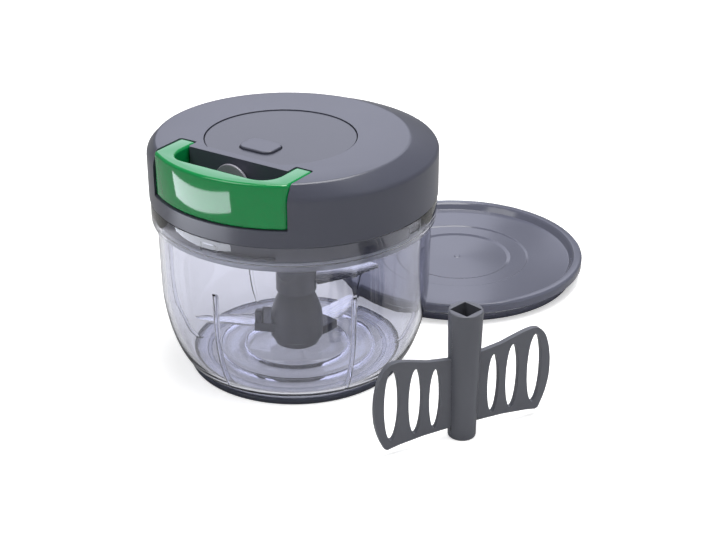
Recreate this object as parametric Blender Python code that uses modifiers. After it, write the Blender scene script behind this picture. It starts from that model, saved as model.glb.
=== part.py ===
# Pull-cord food chopper with its storage lid and mixing paddle, in metres, +Z up.
# The origin is the middle of the pad the bowl stands on. The pull handle faces -Y.
import math

import bmesh
import bpy
from mathutils import Matrix, Vector

# Driving dimensions of the whole chopper
LID_RADIUS = 0.0665
HEIGHT = 0.1144
LID_HEIGHT = 0.0284
GAP = 0.0003
OVERRUN = 0.0200

# Roundness of turned and curved shapes
LARGE_STEPS = 40
MEDIUM_STEPS = 24
SMALL_STEPS = 16
SCREW_STEPS = 8
CORNER_STEPS = 4
MERGE = 0.00001

# Base pad: a soft cap that grips the bowl's foot
PAD_THICKNESS = 0.0024
PAD_RIM_WALL = 0.0015
PAD_RIM_HEIGHT = 0.0016

# Bowl
FOOT_RADIUS = 0.0497
FOOT_HEIGHT = 0.0018
NECK_STEP = 0.0024
WAIST_STEP = 0.0005
WAIST_Z = 0.0420
BELLY_POWER = 1.7
BELLY_STEPS = 6
BOWL_WALL = 0.0022
BOWL_FLOOR = 0.0028
FLOOR_INSET = 0.0010
COLLAR_INSET = 0.0004
COLLAR_WALL = 0.0021
COLLAR_HEIGHT = 0.0111
LEDGE_THICKNESS = 0.0018
RIB_COUNT = 6
RIB_DROP = 0.0290
RIB_DEPTH = 0.0020
RIB_THICKNESS = 0.0016
FLOOR_RING_RADII = (0.0370, 0.0250)
FLOOR_RING_HEIGHT = 0.0007
FLOOR_RING_WIDTH = 0.0020
BOSS_RADIUS = 0.0060
BOSS_TOP_RADIUS = 0.0042
BOSS_HEIGHT = 0.0060
PIN_RADIUS = 0.0020
PIN_SEAT_DEPTH = 0.0050
PIN_HEIGHT = 0.0090

# Bayonet: lugs in the bowl's collar, slots in the lid's skirt
LUG_COUNT = 4
LUG_WIDTH = 0.0080
LUG_HEIGHT = 0.0026
LUG_DEPTH = 0.0014
LUG_DROP = 0.0050
LOCK_ANGLE = 24.0
SLOT_STEPS = 8

# Silicone seal between the bowl's ledge and the lower cover
SEAL_THICKNESS = 0.0010
SEAL_LIP_DROP = 0.0040

# Lid housing
SHOULDER_DROP = 0.0066
TOP_RADIUS = 0.0575
TOP_OFFSET = 0.0080
LID_WALL = 0.0025
EDGE_ROUND = 0.0010
NOTCH_DEPTH = 0.0209
NOTCH_BACK_Y = 0.0420

# Disc panel in the lid's top
DISC_RADIUS = 0.0343
DISC_OFFSET = 0.0095
DISC_FRONT_Y = 0.0376
DISC_THICKNESS = 0.0014
DISC_EDGE = 0.0004

# Button
BUTTON_WIDTH = 0.0175
BUTTON_DEPTH = 0.0125
BUTTON_CORNER = 0.0042
BUTTON_Y = 0.0247
BUTTON_PROUD = 0.0006
BUTTON_CAP = 0.0024
BUTTON_TRAVEL = 0.0015
BUTTON_SKIRT = 0.0012
BUTTON_POCKET_WALL = 0.0010
BUTTON_STEM_RADIUS = 0.0022
BUTTON_STEM_LENGTH = 0.0052
BUTTON_SPRING_RADIUS = 0.0036
BUTTON_SPRING_WIRE = 0.0003
BUTTON_SPRING_TURNS = 2

# Pull handle
HANDLE_INSET = 0.0007
HANDLE_HALF_WIDTH = 0.0358
GRIP_THICKNESS = 0.0093
HANDLE_TRIM_STEPS = 2
ARM_INNER_X = 0.0272
ARM_TIP_Y = 0.0360
ARM_DEPTH = 0.0120
ARM_ROOT_REACH = 0.0090
HANDLE_INNER_CORNER = 0.0090
HANDLE_OUTER_CORNER = 0.0035
HANDLE_TIP_CORNER = 0.0012
HANDLE_EDGE = 0.0012
KNOT_POCKET_RADIUS = 0.0036
KNOT_RADIUS = 0.0027
KNOT_INSET = 0.0042

# Cord and its guide
CORD_RADIUS = 0.00125
CORD_DEPTH = 0.0103
BELL_RADIUS = 0.0078
BELL_THROAT = 0.0043
BELL_REACH = 0.0050
BELL_FLANGE = 0.0012
NOZZLE_BORE = 0.0019
NOZZLE_REACH = 0.0022
NOZZLE_LENGTH = 0.0090

# Spool with its ratchet crown, and the clutch dog that drives the blades
SPOOL_RADIUS = 0.0170
SPOOL_WALL = 0.0025
FLANGE_RADIUS = 0.0218
FLANGE_THICKNESS = 0.0013
SPOOL_HALF_HEIGHT = 0.0052
SPOOL_WEB = 0.0020
WINDING_DEPTH = 0.0032
CROWN_INNER = 0.0085
CROWN_OUTER = 0.0145
CROWN_RISE = 0.0018
CROWN_TEETH = 12
CROWN_STEEP = 1.5
CROWN_BACKLASH = 2.2
DOG_PLATE = 0.0020
SHAFT_RADIUS = 0.0066
PEG_SIDE = 0.0088
PEG_DROP = 0.0210
AXLE_RADIUS = 0.0025
AXLE_BOSS_RADIUS = 0.0055
WASHER_RADIUS = 0.0060
WASHER_THICKNESS = 0.0008

# Springs
RECOIL_TURNS = 5
RECOIL_STEPS = 12
RECOIL_STRIP = 0.0005
RECOIL_HEIGHT = 0.0055
RECOIL_INNER = 0.0050
CLUTCH_SPRING_TURNS = 2
CLUTCH_SPRING_WIRE = 0.0004
CLUTCH_SPRING_RADIUS = 0.0124
COIL_STEPS = 9

# Lower cover: plate, skirt with the bayonet slots, plug ring and hub
COVER_PLATE = 0.0025
SKIRT_WALL = 0.0024
SLOT_DEPTH = 0.0018
PLUG_WALL = 0.0020
PLUG_DROP = 0.0100
HUB_RADIUS = 0.0104
HUB_DROP = 0.0040
HUB_RISE = 0.0018
BUSH_WALL = 0.0016
SCREW_RADIUS = 0.0015
SCREW_LENGTH = 0.0110
SCREW_HEAD_RADIUS = 0.0029
SCREW_HEAD_HEIGHT = 0.0018
SCREW_BOSS_RADIUS = 0.0042
SCREW_PLACES = ((0.0490, -0.0130), (-0.0490, -0.0130), (0.0350, 0.0360), (-0.0350, 0.0360))

# Blade rotor
POST_DROP = 0.0072
POST_TUBE_RADIUS = 0.0096
POST_TUBE_BOTTOM_Z = 0.0345
POST_WAIST_RADIUS = 0.0078
POST_BELLY_RADIUS = 0.0124
POST_BELLY_Z = 0.0190
POST_BASE_RADIUS = 0.0108
POST_BASE_Z = 0.0090
SOCKET_DEPTH = 0.0165
SOCKET_FIT = 0.0004
BUSH_LENGTH = 0.0060
POST_BUSH_RADIUS = 0.0045
BLADE_THICKNESS = 0.0011
BLADE_ROOT_CHORD = 0.0150
BLADE_TIP_CHORD = 0.0056
BLADE_SWEEP = 0.0060
BLADE_STEPS = 6
BLADE_ROOT_RADIUS = 0.0085
CLAMP_HEIGHT = 0.0046
CLAMP_REACH = 0.0190
CLAMP_WIDTH = 0.0180
PRONG_WIDTH = 0.0040
PRONG_HEIGHT = 0.0060
# name, level, tip radius, clamp reach, direction in degrees from +X
BLADES = (
    ("blade_upper", 0.0395, 0.0420, 0.0100, 49.0),
    ("blade_left", 0.0165, 0.0500, 0.0190, 203.0),
    ("blade_rear", 0.0110, 0.0480, 0.0190, 81.0),
)

# Storage lid, lying behind the chopper on the same surface and just clear of the bowl
STORAGE_ANGLE = 80.9
STORAGE_RADIUS = 0.0665
STORAGE_HEIGHT = 0.0115
STORAGE_WALL = 0.0018
STORAGE_RIM_WIDTH = 0.0050
STORAGE_RIM_DROP = 0.0048
STORAGE_RECESS = 0.0035
STORAGE_RING_OUTER = 0.0380
STORAGE_RING_INNER = 0.0285
STORAGE_RING_RISE = 0.0010
STORAGE_PLUG_RADIUS = 0.0624
STORAGE_SEAL_HEIGHT = 0.0020
STORAGE_SEAL_DEPTH = 0.0009

# Mixing paddle, standing beside the chopper on the same surface
PADDLE_X = 0.1043
PADDLE_Y = -0.0226
PADDLE_TURN = 60.0
PADDLE_HEIGHT = 0.0620
PADDLE_TOP_RADIUS = 0.0076
PADDLE_BOTTOM_RADIUS = 0.0062
PADDLE_SOCKET_DEPTH = 0.0300
PADDLE_SOCKET_TURN = 18.0
PADDLE_BORE_RADIUS = 0.0026
WING_SPAN = 0.0460
WING_THICKNESS = 0.0024
WING_ROOT_LOW_Z = 0.0060
WING_ROOT_HIGH_Z = 0.0385
WING_LOW_X = 0.0385
WING_LOW_Z = 0.0030
WING_HIGH_X = 0.0360
WING_HIGH_Z = 0.0462
WING_MID_Z = 0.0255
WING_LOW_CORNER = 0.0020
WING_MID_CORNER = 0.0250
WING_HIGH_CORNER = 0.0080
WING_EDGE = 0.0006
# centre across, centre height, half width and half height of each oval slot
WING_SLOTS = (
    (0.0146, 0.0225, 0.0029, 0.0147),
    (0.0243, 0.0237, 0.0033, 0.0160),
    (0.0358, 0.0247, 0.0037, 0.0172),
)
SLOT_POINTS = 18

# Angles from which an edge counts as sharp, for shading and for bevels
SHARP_ANGLE = 35.0
BEVEL_ANGLE = 50.0

# Places worked out from the values above
SEAM_Z = HEIGHT - LID_HEIGHT
SHOULDER_Z = HEIGHT - SHOULDER_DROP
NOTCH_FLOOR_Z = HEIGHT - NOTCH_DEPTH
CORD_Z = HEIGHT - CORD_DEPTH
LUG_Z = SEAM_Z - LUG_DROP
RIB_TOP_Z = SEAM_Z - RIB_DROP
POST_TOP_Z = SEAM_Z - POST_DROP
PEG_BOTTOM_Z = SEAM_Z - PEG_DROP
COLLAR_RADIUS = LID_RADIUS - COLLAR_INSET
NECK_RADIUS = COLLAR_RADIUS - NECK_STEP
WAIST_RADIUS = NECK_RADIUS - WAIST_STEP
HANDLE_RADIUS = LID_RADIUS - HANDLE_INSET
HANDLE_FACE_Y = HANDLE_RADIUS - GRIP_THICKNESS
ARM_ROOT_Y = HANDLE_FACE_Y - ARM_ROOT_REACH
LEDGE_TOP_Z = SEAM_Z - COLLAR_HEIGHT - GAP + LEDGE_THICKNESS
COLLAR_INNER = COLLAR_RADIUS - COLLAR_WALL
NECK_INNER = NECK_RADIUS - BOWL_WALL
BOWL_BOTTOM_Z = PAD_THICKNESS + GAP
FLOOR_Z = BOWL_BOTTOM_Z + BOWL_FLOOR
BOSS_TOP_Z = FLOOR_Z + BOSS_HEIGHT
PIN_TOP_Z = BOSS_TOP_Z + PIN_HEIGHT
SKIRT_RADIUS = COLLAR_INNER - GAP
SKIRT_BOTTOM_Z = LEDGE_TOP_Z + SEAL_THICKNESS + GAP + GAP
COVER_TOP_Z = SEAM_Z + COVER_PLATE
PLUG_RADIUS = NECK_INNER - GAP - SEAL_THICKNESS - GAP
CEILING_Z = HEIGHT - LID_WALL
SPOOL_BOTTOM_Z = CORD_Z - SPOOL_HALF_HEIGHT
SPOOL_TOP_Z = CORD_Z + SPOOL_HALF_HEIGHT
WEB_BOTTOM_Z = SPOOL_BOTTOM_Z - SPOOL_WEB
CROWN_LOW_Z = WEB_BOTTOM_Z - CROWN_RISE
DOG_TOP_Z = CROWN_LOW_Z - GAP - GAP
HUB_TOP_Z = COVER_TOP_Z + HUB_RISE
HUB_BOTTOM_Z = SEAM_Z - HUB_DROP
SHAFT_BORE = AXLE_RADIUS + GAP
BUTTON_TOP_Z = HEIGHT + BUTTON_PROUD
BUTTON_LOW_Z = BUTTON_TOP_Z - BUTTON_CAP
BUTTON_POCKET_Z = BUTTON_LOW_Z - BUTTON_TRAVEL - GAP


def clear_scene():
    for obj in list(bpy.data.objects):
        bpy.data.objects.remove(obj, do_unlink=True)


clear_scene()

CHOPPER = bpy.data.collections.new("food_chopper")
CUTTERS = bpy.data.collections.new("cutters")
bpy.context.scene.collection.children.link(CHOPPER)
bpy.context.scene.collection.children.link(CUTTERS)
CUTTERS.hide_render = True


def material(name, red, green, blue, roughness, metallic=0.0, transmission=0.0):
    made = bpy.data.materials.new(name)
    made.use_nodes = True
    shader = made.node_tree.nodes["Principled BSDF"]
    shader.inputs["Base Color"].default_value = (red, green, blue, 1.0)
    shader.inputs["Roughness"].default_value = roughness
    shader.inputs["Metallic"].default_value = metallic
    shader.inputs["Transmission Weight"].default_value = transmission
    made.diffuse_color = (red, green, blue, 1.0)
    return made


GREY = material("grey_moulded_plastic", 0.16, 0.17, 0.21, 0.42)
DARK_GREY = material("dark_grey_plastic", 0.10, 0.11, 0.13, 0.45)
GREEN = material("green_gloss_plastic", 0.0, 0.27, 0.05, 0.12)
CLEAR = material("clear_bowl_plastic", 0.85, 0.86, 0.92, 0.04, transmission=1.0)
STEEL = material("stainless_steel", 0.62, 0.62, 0.63, 0.22, metallic=1.0)
SPRING_STEEL = material("spring_steel", 0.45, 0.45, 0.46, 0.35, metallic=1.0)
SILICONE = material("clear_silicone", 0.70, 0.72, 0.74, 0.35)
RUBBER = material("grey_soft_pad", 0.09, 0.10, 0.12, 0.80)
ACETAL = material("white_acetal", 0.80, 0.80, 0.78, 0.35)
CORD = material("braided_cord", 0.75, 0.75, 0.74, 0.85)


def place(obj, finish, cutter=False):
    """Links the object as a piece or as a cutter and gives it its material."""
    (CUTTERS if cutter else CHOPPER).objects.link(obj)
    obj.hide_render = cutter
    if cutter:
        obj.display_type = "WIRE"
        obj.hide_set(True)
    elif finish is not None:
        obj.data.materials.append(finish)
    return obj


def from_bmesh(name, bm, finish=None, cutter=False):
    bmesh.ops.recalc_face_normals(bm, faces=bm.faces)
    if bm.calc_volume(signed=True) < 0:
        bmesh.ops.reverse_faces(bm, faces=bm.faces)
    mesh = bpy.data.meshes.new(name)
    bm.to_mesh(mesh)
    bm.free()
    mesh.shade_smooth()
    mesh.set_sharp_from_angle(angle=math.radians(SHARP_ANGLE))
    return place(bpy.data.objects.new(name, mesh), finish, cutter)


def made_mesh(obj, finish=None, cutter=False):
    """Turns an object with modifiers or a curve into a mesh object of the same name."""
    name = obj.name
    bpy.context.view_layer.update()
    graph = bpy.context.evaluated_depsgraph_get()
    mesh = bpy.data.meshes.new_from_object(obj.evaluated_get(graph))
    matrix = obj.matrix_world.copy()
    bpy.data.objects.remove(obj, do_unlink=True)
    bm = bmesh.new()
    bm.from_mesh(mesh)
    bmesh.ops.remove_doubles(bm, verts=bm.verts, dist=MERGE)
    bm.transform(matrix)
    bpy.data.meshes.remove(mesh)
    return from_bmesh(name, bm, finish, cutter)


def turned(name, profile, finish=None, cutter=False, steps=LARGE_STEPS, ring=False, matrix=None):
    """Revolves a profile of (radius, height) points, listed down the outer side, with a Screw."""
    mesh = bpy.data.meshes.new(name)
    count = len(profile)
    edges = [(i, (i + 1) % count) for i in range(count if ring else count - 1)]
    mesh.from_pydata([(radius, 0.0, z) for radius, z in profile], edges, [])
    obj = bpy.data.objects.new(name, mesh)
    screw = obj.modifiers.new("turn", "SCREW")
    screw.steps = steps
    screw.render_steps = steps
    screw.use_merge_vertices = True
    screw.merge_threshold = MERGE
    if matrix is not None:
        obj.matrix_world = matrix
    CHOPPER.objects.link(obj)
    return made_mesh(obj, finish, cutter)


def prism(name, outline, low, high, finish=None, cutter=False, matrix=None, holes=(), edge=0.0):
    """Extrudes a flat outline between two heights, as a filled 2D curve made a mesh."""
    curve = bpy.data.curves.new(name, "CURVE")
    curve.dimensions = "2D"
    curve.fill_mode = "BOTH"
    curve.extrude = (high - low) / 2
    for loop in (outline, *holes):
        spline = curve.splines.new("POLY")
        spline.points.add(len(loop) - 1)
        for point, (x, y) in zip(spline.points, loop):
            point.co = (x, y, 0.0, 1.0)
        spline.use_cyclic_u = True
    obj = bpy.data.objects.new(name, curve)
    lift = Matrix.Translation((0.0, 0.0, (low + high) / 2))
    obj.matrix_world = (matrix @ lift) if matrix is not None else lift
    CHOPPER.objects.link(obj)
    solid = made_mesh(obj, finish, cutter)
    if edge:
        soften(solid, edge)
    return solid


def soften(obj, width, segments=1):
    bevel = obj.modifiers.new("edges", "BEVEL")
    bevel.width = width
    bevel.segments = segments
    bevel.limit_method = "ANGLE"
    bevel.angle_limit = math.radians(BEVEL_ANGLE)
    bevel.harden_normals = False
    bevel.use_clamp_overlap = True


def block(name, low, high, finish=None, cutter=False, matrix=None):
    """A box between two corners."""
    bm = bmesh.new()
    bmesh.ops.create_cube(bm, size=1.0)
    low = Vector(low)
    high = Vector(high)
    size = high - low
    bmesh.ops.transform(bm, matrix=Matrix.Diagonal((*size, 1.0)), verts=bm.verts)
    bmesh.ops.translate(bm, vec=(low + high) / 2, verts=bm.verts)
    if matrix is not None:
        bm.transform(matrix)
    return from_bmesh(name, bm, finish, cutter)


def rod(name, radius, low, high, finish=None, cutter=False, x=0.0, y=0.0, steps=SMALL_STEPS):
    """An upright cylinder."""
    matrix = Matrix.Translation((x, y, 0.0))
    profile = [(0.0, high), (radius, high), (radius, low), (0.0, low)]
    return turned(name, profile, finish, cutter, steps, matrix=matrix)


def gathered(name, cutters):
    """Several cutters that don't meet, as one object, so that they cut in one step."""
    bm = bmesh.new()
    for cutter in cutters:
        bm.from_mesh(cutter.data)
        bpy.data.objects.remove(cutter, do_unlink=True)
    return from_bmesh(name, bm, cutter=True)


def cut(obj, cutter):
    change(obj, cutter, "DIFFERENCE")


def join(obj, other):
    change(obj, other, "UNION")


def change(obj, other, operation):
    boolean = obj.modifiers.new(other.name, "BOOLEAN")
    boolean.operation = operation
    boolean.object = other
    boolean.solver = "EXACT"


def arc(x, y, radius, start, end, steps):
    """Points on an arc, both ends included, with angles in degrees."""
    found = []
    for i in range(steps + 1):
        angle = math.radians(start + (end - start) * i / steps)
        found.append((x + radius * math.cos(angle), y + radius * math.sin(angle)))
    return found


def rounded(corners, steps=CORNER_STEPS):
    """Replaces each corner (x, y, radius) of an outline with a fillet of that radius."""
    found = []
    count = len(corners)
    for i, (x, y, radius) in enumerate(corners):
        here = Vector((x, y))
        if not radius:
            found.append((x, y))
            continue
        before = (Vector(corners[i - 1][:2]) - here).normalized()
        after = (Vector(corners[(i + 1) % count][:2]) - here).normalized()
        half = before.angle(after) / 2
        middle = here + (before + after).normalized() * (radius / math.sin(half))
        first = here + before * (radius / math.tan(half)) - middle
        last = here + after * (radius / math.tan(half)) - middle
        sweep = first.angle_signed(last)
        for k in range(steps + 1):
            turn = Matrix.Rotation(-sweep * k / steps, 2)
            found.append(tuple(middle + turn @ first))
    return found


def crown(name, base_z, root_z, rise, phase, finish=None, cutter=False):
    """A ring of saw teeth: each tooth climbs along the ring and ends in a steep face."""
    bm = bmesh.new()
    sections = []
    pitch = 360.0 / CROWN_TEETH
    for tooth in range(CROWN_TEETH):
        start = pitch * tooth + phase
        for degrees, tip_z in ((start, root_z), (start + pitch - CROWN_STEEP, root_z + rise)):
            angle = math.radians(degrees)
            corners = []
            for radius, z in (
                (CROWN_INNER, base_z),
                (CROWN_OUTER, base_z),
                (CROWN_OUTER, tip_z),
                (CROWN_INNER, tip_z),
            ):
                corners.append(bm.verts.new((radius * math.cos(angle), radius * math.sin(angle), z)))
            sections.append(corners)
    for i, first in enumerate(sections):
        second = sections[(i + 1) % len(sections)]
        for k in range(4):
            bm.faces.new((first[k], first[(k + 1) % 4], second[(k + 1) % 4], second[k]))
    return from_bmesh(name, bm, finish, cutter)


def tube(name, points, radius, finish=None, resolution=1, cutter=False):
    """A round tube along a list of points, with filled ends."""
    curve = bpy.data.curves.new(name, "CURVE")
    curve.dimensions = "3D"
    curve.bevel_depth = radius
    curve.bevel_resolution = resolution
    curve.use_fill_caps = True
    spline = curve.splines.new("POLY")
    spline.points.add(len(points) - 1)
    for point, place_at in zip(spline.points, points):
        point.co = (*place_at, 1.0)
    obj = bpy.data.objects.new(name, curve)
    CHOPPER.objects.link(obj)
    return made_mesh(obj, finish, cutter)


def helix(radius, low, high, turns, x=0.0, y=0.0):
    found = []
    count = turns * COIL_STEPS
    for i in range(count + 1):
        angle = 2 * math.pi * i / COIL_STEPS
        z = low + (high - low) * i / count
        found.append((x + radius * math.cos(angle), y + radius * math.sin(angle), z))
    return found


def belly(foot, waist, low_z, high_z, power=BELLY_POWER, steps=BELLY_STEPS):
    """The bowl's rounded lower wall from its waist down to its foot."""
    found = []
    for i in range(steps + 1):
        height_share = math.sin(math.pi / 2 * i / steps)
        out_share = (1 - height_share**power) ** (1 / power) if i < steps else 0.0
        z = high_z - (high_z - low_z) * height_share
        found.append((foot + (waist - foot) * out_share, z))
    return found


def bowl_radius(z):
    """Outer radius of the bowl's lower wall at a height."""
    height_share = max(0.0, (WAIST_Z - z) / (WAIST_Z - BOWL_BOTTOM_Z))
    return FOOT_RADIUS + (WAIST_RADIUS - FOOT_RADIUS) * (1 - height_share**BELLY_POWER) ** (
        1 / BELLY_POWER
    )


def turn_z(angle):
    return Matrix.Rotation(math.radians(angle), 4, "Z")


def upright(x, y, angle):
    """Stands an outline drawn in X and Y up on its edge, turned about the vertical."""
    return Matrix.Translation((x, y, 0.0)) @ turn_z(angle) @ Matrix.Rotation(math.pi / 2, 4, "X")


def stadium(half_length, half_height):
    straight = half_length - half_height
    return arc(straight, 0.0, half_height, -90.0, 90.0, CORNER_STEPS) + arc(
        -straight, 0.0, half_height, 90.0, 270.0, CORNER_STEPS
    )


def base_pad():
    rim = FOOT_RADIUS + GAP
    outer = rim + PAD_RIM_WALL
    top = PAD_THICKNESS + PAD_RIM_HEIGHT
    profile = [
        (0.0, PAD_THICKNESS),
        (rim, PAD_THICKNESS),
        (rim, top),
        (outer, top),
        (outer, PAD_RIM_WALL),
        (outer - PAD_RIM_WALL, 0.0),
        (0.0, 0.0),
    ]
    turned("base_pad", profile, RUBBER)


def bowl():
    shoulder_z = BOWL_BOTTOM_Z + FOOT_HEIGHT
    collar_bottom = SEAM_Z - COLLAR_HEIGHT - GAP
    rim_z = SEAM_Z - GAP
    wall = belly(FOOT_RADIUS, WAIST_RADIUS, BOWL_BOTTOM_Z, WAIST_Z)
    lower = [point for point in wall if point[1] > shoulder_z]
    outside = [(0.0, rim_z), (COLLAR_RADIUS, rim_z), (COLLAR_RADIUS, collar_bottom + EDGE_ROUND)]
    outside += [(COLLAR_RADIUS - EDGE_ROUND, collar_bottom), (NECK_RADIUS, collar_bottom)]
    outside += lower
    outside += [(bowl_radius(shoulder_z), shoulder_z), (FOOT_RADIUS, shoulder_z)]
    outside += [(FOOT_RADIUS, BOWL_BOTTOM_Z), (0.0, BOWL_BOTTOM_Z)]
    vessel = turned("bowl", outside, CLEAR)

    above = rim_z + OVERRUN
    floor_radius = FOOT_RADIUS - FLOOR_INSET
    waist = WAIST_RADIUS - BOWL_WALL
    inside = [(0.0, above), (COLLAR_INNER, above)]
    inside += [(COLLAR_INNER, LEDGE_TOP_Z), (NECK_INNER, LEDGE_TOP_Z)]
    inside += belly(floor_radius, waist, FLOOR_Z, WAIST_Z)
    for radius in FLOOR_RING_RADII:
        inside += [
            (radius + FLOOR_RING_WIDTH / 2, FLOOR_Z),
            (radius, FLOOR_Z + FLOOR_RING_HEIGHT),
            (radius - FLOOR_RING_WIDTH / 2, FLOOR_Z),
        ]
    bore = PIN_RADIUS + GAP
    bore_z = BOSS_TOP_Z - PIN_SEAT_DEPTH - GAP
    inside += [(BOSS_RADIUS, FLOOR_Z), (BOSS_TOP_RADIUS, BOSS_TOP_Z)]
    inside += [(bore, BOSS_TOP_Z), (bore, bore_z), (0.0, bore_z)]
    hollow = turned("bowl_hollow", inside, cutter=True)

    for i in range(RIB_COUNT):
        rib = block(
            f"rib_space_{i}",
            (floor_radius - RIB_DEPTH - BOSS_RADIUS, -RIB_THICKNESS / 2, FLOOR_Z - OVERRUN),
            (COLLAR_RADIUS, RIB_THICKNESS / 2, RIB_TOP_Z),
            cutter=True,
            matrix=turn_z(-90.0 + 360.0 * i / RIB_COUNT),
        )
        cut(hollow, rib)
    cut(vessel, hollow)

    core = [(0.0, RIB_TOP_Z + RIB_DEPTH), (waist - RIB_DEPTH, RIB_TOP_Z + RIB_DEPTH)]
    core_bottom = FLOOR_Z + FLOOR_RING_HEIGHT
    core += belly(floor_radius - RIB_DEPTH, waist - RIB_DEPTH, core_bottom, WAIST_Z)
    around_boss = BOSS_RADIUS + RIB_DEPTH
    core += [(around_boss, core_bottom), (around_boss, BOSS_TOP_Z), (0.0, BOSS_TOP_Z)]
    cut(vessel, turned("bowl_core", core, cutter=True))

    for i in range(LUG_COUNT):
        lug = prism(
            f"lug_{i}",
            stadium(LUG_WIDTH / 2, LUG_HEIGHT / 2),
            0.0,
            LUG_DEPTH + COLLAR_WALL / 2,
            cutter=True,
            matrix=turn_z(360.0 * i / LUG_COUNT)
            @ Matrix.Translation((0.0, -(COLLAR_INNER - LUG_DEPTH), LUG_Z))
            @ Matrix.Rotation(math.pi / 2, 4, "X"),
        )
        join(vessel, lug)


def bowl_pin():
    bottom = BOSS_TOP_Z - PIN_SEAT_DEPTH
    nose = PIN_RADIUS / 2
    profile = [(0.0, PIN_TOP_Z), (nose, PIN_TOP_Z), (PIN_RADIUS, PIN_TOP_Z - nose)]
    profile += [(PIN_RADIUS, bottom), (0.0, bottom)]
    turned("bowl_pin", profile, STEEL, steps=SMALL_STEPS)


def lid_seal():
    low = LEDGE_TOP_Z + GAP
    lip_outer = NECK_INNER - GAP
    lip_inner = lip_outer - SEAL_THICKNESS
    lip_z = low - SEAL_LIP_DROP
    profile = [
        (SKIRT_RADIUS, low + SEAL_THICKNESS),
        (SKIRT_RADIUS, low),
        (lip_outer, low),
        (lip_outer, lip_z),
        (lip_inner, lip_z),
        (lip_inner, low + SEAL_THICKNESS),
    ]
    turned("lid_seal", profile, SILICONE, ring=True)


def lid_body(name, inset, low_z, finish=None, cutter=False):
    """The lid's outside, or its hollow when inset: an upright wall, then a slope to an off-centre top."""
    wall = LID_RADIUS - inset
    rim = TOP_RADIUS - inset
    shoulder = SHOULDER_Z - inset / 2
    top = HEIGHT - inset
    share = EDGE_ROUND / (top - shoulder)
    rings = [
        (low_z, wall, 0.0),
        (shoulder - EDGE_ROUND, wall, 0.0),
        (shoulder + EDGE_ROUND / 2, wall - (wall - rim) * share, -TOP_OFFSET * share),
        (top - EDGE_ROUND / 2, rim + (wall - rim) * share / 2, -TOP_OFFSET * (1 - share / 2)),
        (top, rim - EDGE_ROUND, -TOP_OFFSET),
    ]
    bm = bmesh.new()
    low, radius, shift = rings[0]
    bmesh.ops.create_circle(bm, radius=radius, segments=LARGE_STEPS)
    bmesh.ops.translate(bm, vec=(0.0, shift, low), verts=bm.verts)
    edges = list(bm.edges)
    for z, next_radius, next_shift in rings[1:]:
        grown = bmesh.ops.extrude_edge_only(bm, edges=edges)["geom"]
        edges = [item for item in grown if isinstance(item, bmesh.types.BMEdge)]
        scale = next_radius / radius
        for vert in [item for item in grown if isinstance(item, bmesh.types.BMVert)]:
            vert.co = (vert.co.x * scale, (vert.co.y - shift) * scale + next_shift, z)
        radius, shift = next_radius, next_shift
    bmesh.ops.holes_fill(bm, edges=[edge for edge in bm.edges if edge.is_boundary], sides=0)
    return from_bmesh(name, bm, finish, cutter)


def notch(name, grow, cutter=True):
    """The handle's notch in the lid: a finger well with a side channel for each arm."""
    half = HANDLE_HALF_WIDTH + GAP + grow
    inner = ARM_INNER_X - GAP - grow
    back = -(NOTCH_BACK_Y - grow)
    channel = -(ARM_TIP_Y - GAP - grow)
    front = -(LID_RADIUS + OVERRUN)
    outline = [
        (-half, front),
        (half, front),
        (half, channel),
        (inner, channel),
        (inner, back),
        (-inner, back),
        (-inner, channel),
        (-half, channel),
    ]
    return prism(name, outline, NOTCH_FLOOR_Z - grow, HEIGHT + OVERRUN, cutter=cutter)


def disc_outline(grow):
    """The disc panel: a circle cut straight on the handle's side."""
    radius = DISC_RADIUS + grow
    front = DISC_FRONT_Y + grow - DISC_OFFSET
    angle = math.degrees(math.asin(front / radius))
    return arc(0.0, -DISC_OFFSET, radius, -angle, 180.0 + angle, LARGE_STEPS - MEDIUM_STEPS // 2)


def button_outline(grow):
    x = BUTTON_WIDTH / 2 + grow
    y = BUTTON_DEPTH / 2 + grow
    corner = BUTTON_CORNER + grow
    outline = rounded([(-x, -y, corner), (x, -y, corner), (x, y, corner), (-x, y, corner)])
    return [(px, py - BUTTON_Y) for px, py in outline]


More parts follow.
